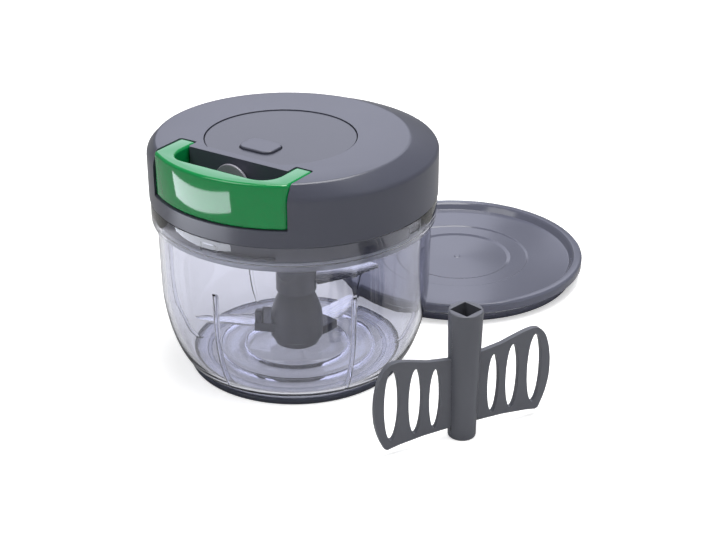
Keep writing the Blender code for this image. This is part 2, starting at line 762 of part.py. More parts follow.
def lid_housing():
    housing = lid_body("lid_housing", 0.0, SEAM_Z, GREY)
    hollow = lid_body("lid_hollow", LID_WALL, SEAM_Z - OVERRUN, cutter=True)
    cut(hollow, notch("notch_walls", LID_WALL))
    low = COVER_TOP_Z + GAP
    high = HEIGHT + OVERRUN
    for i, (x, y) in enumerate(SCREW_PLACES):
        cut(hollow, rod(f"screw_boss_{i}", SCREW_BOSS_RADIUS, low, high, cutter=True, x=x, y=y))
    boss_z = SPOOL_TOP_Z + GAP + WASHER_THICKNESS + GAP
    cut(hollow, rod("axle_boss", AXLE_BOSS_RADIUS, boss_z, HEIGHT + OVERRUN, cutter=True))
    pocket_wall = button_outline(GAP + BUTTON_POCKET_WALL)
    wall_z = BUTTON_POCKET_Z - BUTTON_POCKET_WALL
    cut(hollow, prism("pocket_wall", pocket_wall, wall_z, HEIGHT + OVERRUN, cutter=True))
    cut(housing, hollow)
    recess_z = HEIGHT - DISC_EDGE - DISC_THICKNESS - GAP
    recess = prism("disc_recess", disc_outline(GAP), recess_z, HEIGHT + OVERRUN, cutter=True)
    cut(housing, gathered("top_openings", [notch("notch_space", 0.0), recess]))
    pocket = prism("button_pocket", button_outline(GAP), BUTTON_POCKET_Z, HEIGHT + OVERRUN, cutter=True)
    cut(housing, pocket)
    stem = BUTTON_STEM_RADIUS + GAP
    holes = [rod("stem_hole", stem, SEAM_Z, HEIGHT + OVERRUN, cutter=True, y=-BUTTON_Y)]
    holes.append(rod("axle_hole", SHAFT_BORE, SEAM_Z, CEILING_Z, cutter=True))
    for i, (x, y) in enumerate(SCREW_PLACES):
        top = SEAM_Z + SCREW_LENGTH + GAP
        holes.append(rod(f"screw_hole_{i}", SCREW_RADIUS + GAP, SEAM_Z, top, cutter=True, x=x, y=y))
    throat_y = NOTCH_BACK_Y - LID_WALL - OVERRUN / 2
    throat = Matrix.Translation((0.0, -throat_y, CORD_Z)) @ Matrix.Rotation(math.pi / 2, 4, "X")
    hole = [(0.0, OVERRUN), (BELL_THROAT + GAP, OVERRUN), (BELL_THROAT + GAP, 0.0), (0.0, 0.0)]
    holes.append(turned("guide_hole", hole, cutter=True, steps=SMALL_STEPS, matrix=throat))
    cut(housing, gathered("housing_holes", holes))


def top_disc():
    low = HEIGHT - DISC_EDGE - DISC_THICKNESS
    disc = prism("top_disc", disc_outline(0.0), low, HEIGHT - DISC_EDGE, GREY, edge=DISC_EDGE)
    cut(disc, prism("button_window", button_outline(GAP), SEAM_Z, HEIGHT + OVERRUN, cutter=True))


def push_button():
    cap = prism("push_button", button_outline(0.0), BUTTON_LOW_Z, BUTTON_TOP_Z, GREY, edge=DISC_EDGE)
    roof = BUTTON_TOP_Z - BUTTON_SKIRT
    cut(cap, prism("button_inside", button_outline(-BUTTON_SKIRT), SEAM_Z, roof, cutter=True))
    stem_low = BUTTON_LOW_Z - BUTTON_STEM_LENGTH
    stem_top = roof + BUTTON_SKIRT / 2
    join(cap, rod("button_stem", BUTTON_STEM_RADIUS, stem_low, stem_top, cutter=True, y=-BUTTON_Y))


def handle_outline():
    half = HANDLE_HALF_WIDTH
    corner_y = -math.sqrt(HANDLE_RADIUS**2 - half**2)
    angle = math.degrees(math.asin(half / HANDLE_RADIUS))
    front = arc(0.0, 0.0, HANDLE_RADIUS, -90.0 - angle, -90.0 + angle, MEDIUM_STEPS // 2)
    outline = [(x, y, 0.0) for x, y in front[HANDLE_TRIM_STEPS:-HANDLE_TRIM_STEPS]]
    right = [
        (half, corner_y, HANDLE_OUTER_CORNER),
        (half, -ARM_TIP_Y, HANDLE_TIP_CORNER),
        (ARM_INNER_X, -ARM_TIP_Y, HANDLE_TIP_CORNER),
        (ARM_INNER_X, -HANDLE_FACE_Y, HANDLE_INNER_CORNER),
    ]
    left = [(-x, y, corner) for x, y, corner in reversed(right)]
    return rounded(outline + right + left)


def pull_handle():
    grip = prism("pull_handle", handle_outline(), NOTCH_FLOOR_Z + GAP, HEIGHT, GREEN)
    under = HEIGHT - ARM_DEPTH
    relief = block(
        "arm_relief",
        (-HANDLE_HALF_WIDTH - OVERRUN, -ARM_ROOT_Y, SEAM_Z - OVERRUN),
        (HANDLE_HALF_WIDTH + OVERRUN, 0.0, under),
        cutter=True,
    )
    cut(grip, relief)
    knot_y = HANDLE_FACE_Y + KNOT_INSET
    pocket_top = CORD_Z + KNOT_RADIUS + GAP
    cut(grip, rod("knot_pocket", KNOT_POCKET_RADIUS, SEAM_Z, pocket_top, cutter=True, y=-knot_y))
    face = Matrix.Translation((0.0, -(HANDLE_FACE_Y - GAP), CORD_Z))
    matrix = face @ Matrix.Rotation(math.pi / 2, 4, "X")
    reach = KNOT_INSET
    bore = CORD_RADIUS + GAP
    hole = [(0.0, reach), (bore, reach), (bore, 0.0), (0.0, 0.0)]
    cut(grip, turned("cord_bore", hole, cutter=True, steps=SMALL_STEPS, matrix=matrix))
    soften(grip, HANDLE_EDGE)


def cord_knot():
    bm = bmesh.new()
    bmesh.ops.create_uvsphere(bm, u_segments=SCREW_STEPS, v_segments=SCREW_STEPS, radius=KNOT_RADIUS)
    bmesh.ops.translate(bm, vec=(0.0, -(HANDLE_FACE_Y + KNOT_INSET), CORD_Z), verts=bm.verts)
    from_bmesh("cord_knot", bm, CORD)


def cord_lead():
    """The cord from the winding through the guide to the knot in the handle."""
    wound = SPOOL_RADIUS + WINDING_DEPTH + GAP + CORD_RADIUS
    inside_y = NOTCH_BACK_Y - LID_WALL
    angle = math.asin(wound / inside_y)
    start = (wound * math.cos(angle), -wound * math.sin(angle), CORD_Z)
    end_y = -(HANDLE_FACE_Y + KNOT_INSET - KNOT_RADIUS - GAP)
    points = [start, (0.0, -inside_y, CORD_Z), (0.0, -NOTCH_BACK_Y, CORD_Z), (0.0, end_y, CORD_Z)]
    tube("cord_lead", points, CORD_RADIUS, CORD, resolution=2)


def guide_frame():
    """Places a profile turned about its own Z so that it points out of the notch's back wall."""
    return Matrix.Translation((0.0, -NOTCH_BACK_Y, CORD_Z)) @ Matrix.Rotation(math.pi / 2, 4, "X")


def cord_guide():
    bore = BELL_THROAT - BELL_FLANGE
    profile = [(bore + BELL_FLANGE / 2, BELL_REACH)]
    profile += [(BELL_RADIUS, BELL_REACH)]
    profile += [(BELL_RADIUS, BELL_REACH - BELL_FLANGE)]
    profile += [(BELL_THROAT + GAP, GAP + BELL_FLANGE), (BELL_THROAT + GAP + BELL_FLANGE, GAP)]
    profile += [(BELL_THROAT, GAP), (BELL_THROAT, -LID_WALL)]
    profile += [(bore, -LID_WALL), (bore, BELL_REACH - BELL_FLANGE)]
    turned("cord_guide", profile, GREY, steps=SMALL_STEPS, ring=True, matrix=guide_frame())


def guide_nozzle():
    outer = BELL_THROAT - BELL_FLANGE - GAP
    high = BELL_REACH + NOZZLE_REACH
    low = high - NOZZLE_LENGTH
    nose = (outer - NOZZLE_BORE) / 2
    profile = [(NOZZLE_BORE, high), (outer - nose, high), (outer, high - nose)]
    profile += [(outer, low), (NOZZLE_BORE, low)]
    turned("guide_nozzle", profile, ACETAL, steps=SMALL_STEPS, ring=True, matrix=guide_frame())


def cord_spool():
    drum = SPOOL_RADIUS
    hollow = SPOOL_RADIUS - SPOOL_WALL
    hub = RECOIL_INNER - RECOIL_STRIP - GAP
    profile = [
        (hollow, SPOOL_TOP_Z),
        (FLANGE_RADIUS, SPOOL_TOP_Z),
        (FLANGE_RADIUS, SPOOL_TOP_Z - FLANGE_THICKNESS),
        (drum, SPOOL_TOP_Z - FLANGE_THICKNESS),
        (drum, SPOOL_BOTTOM_Z + FLANGE_THICKNESS),
        (FLANGE_RADIUS, SPOOL_BOTTOM_Z + FLANGE_THICKNESS),
        (FLANGE_RADIUS, SPOOL_BOTTOM_Z),
        (CROWN_OUTER + SPOOL_WEB, WEB_BOTTOM_Z),
        (SHAFT_BORE, WEB_BOTTOM_Z),
        (SHAFT_BORE, SPOOL_TOP_Z - FLANGE_THICKNESS),
        (hub, SPOOL_TOP_Z - FLANGE_THICKNESS),
        (hub, SPOOL_BOTTOM_Z),
        (hollow, SPOOL_BOTTOM_Z),
    ]
    spool = turned("cord_spool", profile, ACETAL, steps=MEDIUM_STEPS, ring=True)
    root = WEB_BOTTOM_Z + SPOOL_WEB / 2
    teeth = crown("spool_crown", root, CROWN_LOW_Z, CROWN_RISE, 0.0, cutter=True)
    join(spool, teeth)


def cord_winding():
    inner = SPOOL_RADIUS + GAP
    outer = SPOOL_RADIUS + WINDING_DEPTH
    low = SPOOL_BOTTOM_Z + FLANGE_THICKNESS + GAP
    high = SPOOL_TOP_Z - FLANGE_THICKNESS - GAP
    profile = [(inner, high), (outer, high), (outer, low), (inner, low)]
    turned("cord_winding", profile, CORD, steps=MEDIUM_STEPS, ring=True)


def clutch_dog():
    plate_high = DOG_TOP_Z - CROWN_RISE / 2
    profile = [
        (SHAFT_BORE, plate_high),
        (CROWN_OUTER + GAP, plate_high),
        (CROWN_OUTER + GAP, plate_high - DOG_PLATE),
        (SHAFT_RADIUS, plate_high - DOG_PLATE),
        (SHAFT_RADIUS, HUB_BOTTOM_Z),
        (SHAFT_BORE, HUB_BOTTOM_Z),
    ]
    dog = turned("clutch_dog", profile, ACETAL, steps=SMALL_STEPS, ring=True)
    root = plate_high - DOG_PLATE / 2
    teeth = crown("dog_crown", root, DOG_TOP_Z, CROWN_RISE, -CROWN_BACKLASH, cutter=True)
    join(dog, teeth)
    half = PEG_SIDE / 2
    high = HUB_BOTTOM_Z + BUSH_WALL
    join(dog, block("drive_peg", (-half, -half, PEG_BOTTOM_Z), (half, half, high), cutter=True))


def spool_axle():
    top = CEILING_Z - GAP
    bottom = HUB_BOTTOM_Z + BUSH_WALL + GAP
    rod("spool_axle", AXLE_RADIUS, bottom, top, STEEL)


def spool_washer():
    low = SPOOL_TOP_Z + GAP
    high = low + WASHER_THICKNESS
    profile = [(SHAFT_BORE, high), (WASHER_RADIUS, high), (WASHER_RADIUS, low), (SHAFT_BORE, low)]
    turned("spool_washer", profile, STEEL, steps=SMALL_STEPS, ring=True)


def recoil_spring():
    """The flat spiral strip in the spool that winds the cord back."""
    curve = bpy.data.curves.new("recoil_spring", "CURVE")
    curve.dimensions = "3D"
    curve.extrude = RECOIL_HEIGHT / 2
    outer = SPOOL_RADIUS - SPOOL_WALL - GAP - RECOIL_STRIP
    count = RECOIL_TURNS * RECOIL_STEPS
    spline = curve.splines.new("POLY")
    spline.points.add(count)
    for i, point in enumerate(spline.points):
        radius = RECOIL_INNER + (outer - RECOIL_INNER) * i / count
        angle = 2 * math.pi * i / RECOIL_STEPS
        point.co = (radius * math.cos(angle), radius * math.sin(angle), CORD_Z, 1.0)
    obj = bpy.data.objects.new("recoil_spring", curve)
    CHOPPER.objects.link(obj)
    strip = made_mesh(obj, SPRING_STEEL)
    thick = strip.modifiers.new("strip", "SOLIDIFY")
    thick.thickness = RECOIL_STRIP
    thick.offset = 0.0


def clutch_spring():
    low = COVER_TOP_Z + GAP + CLUTCH_SPRING_WIRE
    high = DOG_TOP_Z - CROWN_RISE / 2 - DOG_PLATE - GAP - CLUTCH_SPRING_WIRE
    coil = helix(CLUTCH_SPRING_RADIUS, low, high, CLUTCH_SPRING_TURNS)
    tube("clutch_spring", coil, CLUTCH_SPRING_WIRE, SPRING_STEEL)


def button_spring():
    low = BUTTON_POCKET_Z + GAP + BUTTON_SPRING_WIRE
    high = BUTTON_TOP_Z - BUTTON_SKIRT - GAP - BUTTON_SPRING_WIRE
    coil = helix(BUTTON_SPRING_RADIUS, low, high, BUTTON_SPRING_TURNS, y=-BUTTON_Y)
    tube("button_spring", coil, BUTTON_SPRING_WIRE, SPRING_STEEL)


def lower_cover():
    fit = LID_RADIUS - LID_WALL - GAP
    skirt_inner = SKIRT_RADIUS - SKIRT_WALL
    plug_inner = PLUG_RADIUS - PLUG_WALL
    plug_z = SEAM_Z - PLUG_DROP
    bush = SHAFT_RADIUS + GAP + BUSH_WALL + GAP
    profile = [
        (bush, HUB_TOP_Z),
        (HUB_RADIUS, HUB_TOP_Z),
        (HUB_RADIUS, COVER_TOP_Z),
        (fit, COVER_TOP_Z),
        (fit, SEAM_Z + GAP),
        (SKIRT_RADIUS, SEAM_Z + GAP),
        (SKIRT_RADIUS, SKIRT_BOTTOM_Z),
        (skirt_inner, SKIRT_BOTTOM_Z),
        (skirt_inner, SEAM_Z),
        (PLUG_RADIUS, SEAM_Z),
        (PLUG_RADIUS, plug_z),
        (plug_inner, plug_z),
        (plug_inner, SEAM_Z),
        (HUB_RADIUS, SEAM_Z),
        (HUB_RADIUS, HUB_BOTTOM_Z),
        (bush, HUB_BOTTOM_Z),
    ]
    cover = turned("lower_cover", profile, GREY, ring=True)
    half_width = math.degrees((LUG_WIDTH / 2 + GAP) / SKIRT_RADIUS)
    slot_low = LUG_Z - LUG_HEIGHT / 2 - GAP
    slot_high = LUG_Z + LUG_HEIGHT / 2 + GAP
    cutters = {"run": [], "mouth": []}
    for i in range(LUG_COUNT):
        middle = -90.0 + 360.0 * i / LUG_COUNT
        start = middle - half_width
        for kind, end, low, high in (
            ("run", middle + LOCK_ANGLE + half_width, slot_low, slot_high),
            ("mouth", middle + half_width, SKIRT_BOTTOM_Z - OVERRUN, slot_high - GAP / 2),
        ):
            steps = SLOT_STEPS if kind == "run" else SLOT_STEPS // 2
            outline = arc(0.0, 0.0, COLLAR_RADIUS, start, end, steps)
            outline += arc(0.0, 0.0, SKIRT_RADIUS - SLOT_DEPTH, end, start, steps)
            cutters[kind].append(prism(f"bayonet_{kind}_{i}", outline, low, high, cutter=True))
    low = SEAM_Z - OVERRUN
    high = COVER_TOP_Z + OVERRUN
    for i, (x, y) in enumerate(SCREW_PLACES):
        hole = rod(f"cover_hole_{i}", SCREW_RADIUS + GAP, low, high, cutter=True, x=x, y=y)
        cutters["mouth"].append(hole)
    cut(cover, gathered("slot_runs", cutters["run"]))
    cut(cover, gathered("slot_mouths", cutters["mouth"]))


def drive_bush():
    inner = SHAFT_RADIUS + GAP
    outer = inner + BUSH_WALL
    profile = [(inner, HUB_TOP_Z), (outer, HUB_TOP_Z), (outer, HUB_BOTTOM_Z), (inner, HUB_BOTTOM_Z)]
    turned("drive_bush", profile, ACETAL, steps=SMALL_STEPS, ring=True)


def cover_screws():
    seat = SEAM_Z - GAP
    for i, (x, y) in enumerate(SCREW_PLACES):
        profile = [
            (0.0, SEAM_Z + SCREW_LENGTH),
            (SCREW_RADIUS, SEAM_Z + SCREW_LENGTH),
            (SCREW_RADIUS, seat),
            (SCREW_HEAD_RADIUS, seat),
            (SCREW_HEAD_RADIUS, seat - SCREW_HEAD_HEIGHT / 2),
            (SCREW_RADIUS, seat - SCREW_HEAD_HEIGHT),
            (0.0, seat - SCREW_HEAD_HEIGHT),
        ]
        where = Matrix.Translation((x, y, 0.0))
        turned(f"cover_screw_{i + 1}", profile, STEEL, steps=SCREW_STEPS, matrix=where)


def post_profile():
    bottom = FLOOR_Z + GAP + FLOOR_RING_HEIGHT
    flare = []
    for i in range(BLADE_STEPS + 1):
        share = i / BLADE_STEPS
        out_share = math.sin(math.pi / 2 * share)
        radius = POST_WAIST_RADIUS + (POST_BELLY_RADIUS - POST_WAIST_RADIUS) * out_share
        flare.append((radius, POST_TUBE_BOTTOM_Z + (POST_BELLY_Z - POST_TUBE_BOTTOM_Z) * share))
    return [
        (0.0, POST_TOP_Z),
        (POST_TUBE_RADIUS, POST_TOP_Z),
        (POST_TUBE_RADIUS, POST_TUBE_BOTTOM_Z),
        *flare,
        (POST_BELLY_RADIUS, POST_BASE_Z + EDGE_ROUND),
        (POST_BASE_RADIUS, POST_BASE_Z),
        (POST_BASE_RADIUS, bottom),
        (0.0, bottom),
    ]


def blade_outline(tip, grow, root):
    """A scimitar seen from above: a straight back and a curved cutting edge that narrows to the tip."""
    back = BLADE_ROOT_CHORD / 2
    edge = []
    for i in range(BLADE_STEPS + 1):
        share = i / BLADE_STEPS
        chord = BLADE_ROOT_CHORD + (BLADE_TIP_CHORD - BLADE_ROOT_CHORD) * share
        edge.append((root + (tip - root) * share, back - chord - BLADE_SWEEP * share * (1 - share)))
    rear = [(tip - BLADE_TIP_CHORD / 2, back), (root, back)]
    outline = edge + rear
    return [(x, y + (grow if y > 0 else -grow)) for x, y in outline] if grow else outline


def blade_post():
    post = turned("blade_post", post_profile(), GREY, steps=MEDIUM_STEPS)
    for name, level, tip, reach, direction in BLADES:
        matrix = turn_z(direction)
        half = CLAMP_WIDTH / 2
        low = level - CLAMP_HEIGHT / 2
        high = level + CLAMP_HEIGHT / 2
        if reach > POST_BELLY_RADIUS:
            inner = BLADE_ROOT_RADIUS / 2
            corner = (reach, half, high)
            clamp = block(f"{name}_clamp", (inner, -half, low), corner, cutter=True, matrix=matrix)
            join(post, clamp)
            prong = block(
                f"{name}_prong",
                (reach - PRONG_WIDTH, half - PRONG_WIDTH, low + GAP),
                (reach - GAP, half - GAP, high + PRONG_HEIGHT),
                cutter=True,
                matrix=matrix,
            )
            join(post, prong)
    half_socket = PEG_SIDE / 2 + SOCKET_FIT
    socket_z = POST_TOP_Z - SOCKET_DEPTH
    corner = (half_socket, half_socket, POST_TOP_Z + OVERRUN)
    cut(post, block("post_socket", (-half_socket, -half_socket, socket_z), corner, cutter=True))
    clear_boss = BOSS_RADIUS + GAP + GAP
    boss_high = BOSS_TOP_Z + GAP + GAP
    cut(post, rod("boss_space", clear_boss, -OVERRUN, boss_high, cutter=True))
    cut(post, rod("bush_space", POST_BUSH_RADIUS + GAP, 0.0, boss_high + BUSH_LENGTH + GAP, cutter=True))
    cut(post, rod("pin_space", PIN_RADIUS + GAP, 0.0, PIN_TOP_Z + GAP, cutter=True))
    for name, level, tip, reach, direction in BLADES:
        half = BLADE_THICKNESS / 2 + GAP
        slot = prism(
            f"{name}_slot",
            blade_outline(tip, GAP, BLADE_ROOT_RADIUS - GAP),
            level - half,
            level + half,
            cutter=True,
            matrix=turn_z(direction),
        )
        cut(post, slot)


def blades():
    for name, level, tip, reach, direction in BLADES:
        half = BLADE_THICKNESS / 2
        outline = blade_outline(tip, 0.0, BLADE_ROOT_RADIUS)
        prism(name, outline, level - half, level + half, STEEL, matrix=turn_z(direction))


def post_bush():
    low = BOSS_TOP_Z + GAP + GAP
    high = low + BUSH_LENGTH
    inner = PIN_RADIUS + GAP
    profile = [(inner, high), (POST_BUSH_RADIUS, high), (POST_BUSH_RADIUS, low), (inner, low)]
    turned("post_bush", profile, ACETAL, steps=SMALL_STEPS, ring=True)


def storage_place():
    """The storage lid's middle, with its rim one gap from the bowl's rounded wall."""
    reach = bowl_radius(STORAGE_HEIGHT) + GAP + STORAGE_RADIUS
    angle = math.radians(STORAGE_ANGLE)
    return Matrix.Translation((reach * math.cos(angle), reach * math.sin(angle), 0.0))


def storage_lid():
    where = storage_place()
    rim_in = STORAGE_RADIUS - STORAGE_RIM_WIDTH
    rim_round = STORAGE_WALL / 2
    plate_top = STORAGE_HEIGHT - STORAGE_RECESS
    plate_low = plate_top - STORAGE_WALL
    rim_low = STORAGE_HEIGHT - STORAGE_RIM_DROP
    groove = STORAGE_PLUG_RADIUS - STORAGE_SEAL_DEPTH
    seal_low = rim_low - STORAGE_SEAL_HEIGHT - GAP - GAP
    plug_in = STORAGE_PLUG_RADIUS - STORAGE_WALL - STORAGE_SEAL_DEPTH
    ring_low = plate_top - STORAGE_RING_RISE
    profile = [
        (0.0, ring_low),
        (STORAGE_RING_INNER - STORAGE_WALL, ring_low),
        (STORAGE_RING_INNER, plate_top - STORAGE_RING_RISE / 2),
        (STORAGE_RING_OUTER - STORAGE_RING_RISE, plate_top - STORAGE_RING_RISE / 2),
        (STORAGE_RING_OUTER, plate_top),
        (rim_in - STORAGE_RECESS / 2, plate_top),
        (rim_in, STORAGE_HEIGHT - rim_round),
        (rim_in + rim_round, STORAGE_HEIGHT),
        (STORAGE_RADIUS - rim_round, STORAGE_HEIGHT),
        (STORAGE_RADIUS, STORAGE_HEIGHT - rim_round),
        (STORAGE_RADIUS, rim_low),
        (STORAGE_RADIUS - STORAGE_WALL, rim_low),
        (STORAGE_RADIUS - STORAGE_WALL, rim_low + rim_round),
        (groove, rim_low + rim_round),
        (groove, seal_low),
        (STORAGE_PLUG_RADIUS, seal_low),
        (STORAGE_PLUG_RADIUS - rim_round, 0.0),
        (plug_in, 0.0),
        (plug_in, plate_low),
        (STORAGE_RING_INNER, plate_low - STORAGE_RING_RISE),
        (0.0, plate_low - STORAGE_RING_RISE),
    ]
    turned("storage_lid", profile, GREY, matrix=where)


def storage_seal():
    where = storage_place()
    rim_low = STORAGE_HEIGHT - STORAGE_RIM_DROP
    high = rim_low - GAP
    low = high - STORAGE_SEAL_HEIGHT
    inner = STORAGE_PLUG_RADIUS - STORAGE_SEAL_DEPTH + GAP
    outer = STORAGE_PLUG_RADIUS + STORAGE_SEAL_DEPTH
    profile = [(inner, high), (outer, high), (outer, low), (inner, low)]
    turned("storage_seal", profile, SILICONE, ring=True, matrix=where)


def oval(x, z, half_width, half_height):
    """An upright oval slot."""
    found = []
    for i in range(SLOT_POINTS):
        angle = 2 * math.pi * i / SLOT_POINTS
        found.append((x + half_width * math.cos(angle), z + half_height * math.sin(angle)))
    return found


def mixing_paddle():
    where = Matrix.Translation((PADDLE_X, PADDLE_Y, 0.0)) @ turn_z(PADDLE_TURN)
    profile = [
        (0.0, PADDLE_HEIGHT),
        (PADDLE_TOP_RADIUS - WING_EDGE, PADDLE_HEIGHT),
        (PADDLE_TOP_RADIUS, PADDLE_HEIGHT - WING_EDGE),
        (PADDLE_BOTTOM_RADIUS, 0.0),
        (0.0, 0.0),
    ]
    paddle = turned("mixing_paddle", profile, DARK_GREY, steps=MEDIUM_STEPS, matrix=where)
    corners = [
        (0.0, WING_ROOT_LOW_Z, 0.0),
        (WING_LOW_X, WING_LOW_Z, WING_LOW_CORNER),
        (WING_SPAN, WING_MID_Z, WING_MID_CORNER),
        (WING_HIGH_X, WING_HIGH_Z, WING_HIGH_CORNER),
        (0.0, WING_ROOT_HIGH_Z, 0.0),
    ]
    for side in (1, -1):
        outline = [(side * x, z) for x, z in rounded(corners)]
        holes = [[(side * x, z) for x, z in oval(*slot)] for slot in WING_SLOTS]
        wing = prism(
            f"wing_{side}",
            outline,
            -WING_THICKNESS / 2,
            WING_THICKNESS / 2,
            cutter=True,
            matrix=upright(PADDLE_X, PADDLE_Y, PADDLE_TURN),
            holes=holes,
        )
        join(paddle, wing)
    half = PEG_SIDE / 2 + SOCKET_FIT
    socket = block(
        "paddle_socket",
        (-half, -half, PADDLE_HEIGHT - PADDLE_SOCKET_DEPTH),
        (half, half, PADDLE_HEIGHT + OVERRUN),
        cutter=True,
        matrix=where @ turn_z(PADDLE_SOCKET_TURN),
    )
    cut(paddle, socket)
    x = PADDLE_X
    y = PADDLE_Y
    cut(paddle, rod("paddle_bore", PADDLE_BORE_RADIUS, -OVERRUN, PADDLE_HEIGHT, cutter=True, x=x, y=y))


base_pad()
bowl()
bowl_pin()
lid_seal()
lid_housing()
top_disc()
push_button()
button_spring()
pull_handle()
cord_knot()
cord_lead()
cord_guide()
guide_nozzle()
cord_spool()
cord_winding()
recoil_spring()
clutch_dog()
clutch_spring()
spool_axle()
spool_washer()
lower_cover()
drive_bush()
cover_screws()
blade_post()
blades()
post_bush()
storage_lid()
storage_seal()
mixing_paddle()
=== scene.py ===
# %% [markdown]
# # A pull-cord food chopper, its storage lid and its mixing paddle
# The construction comes packed, as plain faceted solids in their right places. This lesson gives the object
# its looks: fine meshes for what the eye sees, and a finish for every surface. Nothing here moves a packed
# solid.

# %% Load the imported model
import math

import bmesh
import bpy
from mathutils import Matrix, Vector


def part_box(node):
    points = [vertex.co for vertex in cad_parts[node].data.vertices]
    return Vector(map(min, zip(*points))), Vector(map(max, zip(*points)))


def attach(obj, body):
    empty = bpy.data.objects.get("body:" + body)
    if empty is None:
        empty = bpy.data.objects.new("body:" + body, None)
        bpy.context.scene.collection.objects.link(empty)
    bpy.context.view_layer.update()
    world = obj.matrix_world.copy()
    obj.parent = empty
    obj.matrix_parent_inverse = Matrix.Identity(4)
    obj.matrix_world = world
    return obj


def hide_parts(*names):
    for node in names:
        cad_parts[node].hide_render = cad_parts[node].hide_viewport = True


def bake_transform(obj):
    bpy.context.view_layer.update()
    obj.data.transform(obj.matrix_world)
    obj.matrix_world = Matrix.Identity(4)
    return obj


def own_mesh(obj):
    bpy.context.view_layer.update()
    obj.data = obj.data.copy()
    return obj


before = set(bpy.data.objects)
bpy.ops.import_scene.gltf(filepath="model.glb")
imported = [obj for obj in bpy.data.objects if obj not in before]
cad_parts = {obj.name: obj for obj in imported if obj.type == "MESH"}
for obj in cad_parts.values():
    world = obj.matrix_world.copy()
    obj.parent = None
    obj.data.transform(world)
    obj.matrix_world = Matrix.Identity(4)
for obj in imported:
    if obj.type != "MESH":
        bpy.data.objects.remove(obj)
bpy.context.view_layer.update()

print("packed nodes:", len(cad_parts))

# %% [markdown]
# ## Sizes
# Sizes are in metres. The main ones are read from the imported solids, so that a piece made here sits where
# its solid does. The small ones, such as walls and roundings, are written in millimetres times MM.

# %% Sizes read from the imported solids
MM = 0.001
GAP = 0.3 * MM

lid_low, lid_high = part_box("lid_housing")
LID_RADIUS = lid_high.x
SEAM_Z = lid_low.z
TOP_Z = lid_high.z

bowl_low, bowl_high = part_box("bowl")
COLLAR_RADIUS = bowl_high.x
BOWL_BOTTOM_Z = bowl_low.z
BOWL_TOP_Z = bowl_high.z
print(f"lid {2000 * LID_RADIUS:.1f} mm across, {1000 * TOP_Z:.1f} mm high")

# %% [markdown]
# ## Helpers
# Round pieces are a line of points that bmesh spins about the upright axis. Flat ones are an outline that
# is extruded. Both end up in one function that makes the object, gives it its finish, and ties it to its
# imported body.

# %% A profile or outline with rounded corners
ROUND_STEPS = 160
FINE_STEPS = 64
CORNER_STEPS = 6
WELD = 0.002 * MM


def rounded(corners, closed=False, steps=CORNER_STEPS):
    """Points of an outline. A corner is (x, y) where it is sharp and (x, y, radius) where it is rounded."""
    found = []
    count = len(corners)
    for i, corner in enumerate(corners):
        here = Vector(corner[:2])
        radius = corner[2] if len(corner) > 2 else 0
        at_end = not closed and i in (0, count - 1)
        if not radius or at_end:
            found.append(tuple(here))
            continue
        before = (Vector(corners[i - 1][:2]) - here).normalized()
        after = (Vector(corners[(i + 1) % count][:2]) - here).normalized()
        half = before.angle(after) / 2
        middle = here + (before + after).normalized() * (radius / math.sin(half))
        first = here + before * (radius / math.tan(half)) - middle
        last = here + after * (radius / math.tan(half)) - middle
        sweep = first.angle_signed(last)
        for k in range(steps + 1):
            found.append(tuple(middle + Matrix.Rotation(-sweep * k / steps, 2) @ first))
    return found


def arc(x, y, radius, start, end, steps):
    """Points on an arc, both ends included, with angles in degrees."""
    angles = [math.radians(start + (end - start) * k / steps) for k in range(steps + 1)]
    return [(x + radius * math.cos(a), y + radius * math.sin(a)) for a in angles]


# %% Meshes from a profile, an outline and a box
def turned(profile, steps=ROUND_STEPS, closed=False):
    """Spins (radius, height) points about the upright axis."""
    bm = bmesh.new()
    verts = [bm.verts.new((radius, 0, z)) for radius, z in profile]
    ends = verts[1:] + verts[:1] if closed else verts[1:]
    edges = [bm.edges.new(pair) for pair in zip(verts, ends)]
    bmesh.ops.spin(
        bm, geom=verts + edges, cent=(0, 0, 0), axis=(0, 0, 1), angle=2 * math.pi, steps=steps, use_merge=True
    )
    bmesh.ops.remove_doubles(bm, verts=bm.verts, dist=WELD)
    bmesh.ops.recalc_face_normals(bm, faces=bm.faces)
    return bm


def slab(outline, low, high):
    """Extrudes a flat outline between two heights."""
    bm = bmesh.new()
    base = bm.faces.new([bm.verts.new((x, y, low)) for x, y in outline])
    grown = bmesh.ops.extrude_face_region(bm, geom=[base])["geom"]
    top = [item for item in grown if isinstance(item, bmesh.types.BMVert)]
    bmesh.ops.translate(bm, vec=(0, 0, high - low), verts=top)
    bmesh.ops.recalc_face_normals(bm, faces=bm.faces)
    return bm


def box(low, high):
    """A box between two corners."""
    low, high = Vector(low), Vector(high)
    bm = bmesh.new()
    bmesh.ops.create_cube(bm, size=1)
    bmesh.ops.transform(bm, matrix=Matrix.Diagonal((*(high - low), 1)), verts=bm.verts)
    bmesh.ops.translate(bm, vec=(low + high) / 2, verts=bm.verts)
    return bm


def rod(radius, low, high, x=0, y=0, steps=FINE_STEPS):
    bm = turned([(0, high), (radius, high), (radius, low), (0, low)], steps)
    bmesh.ops.translate(bm, vec=(x, y, 0), verts=bm.verts)
    return bm


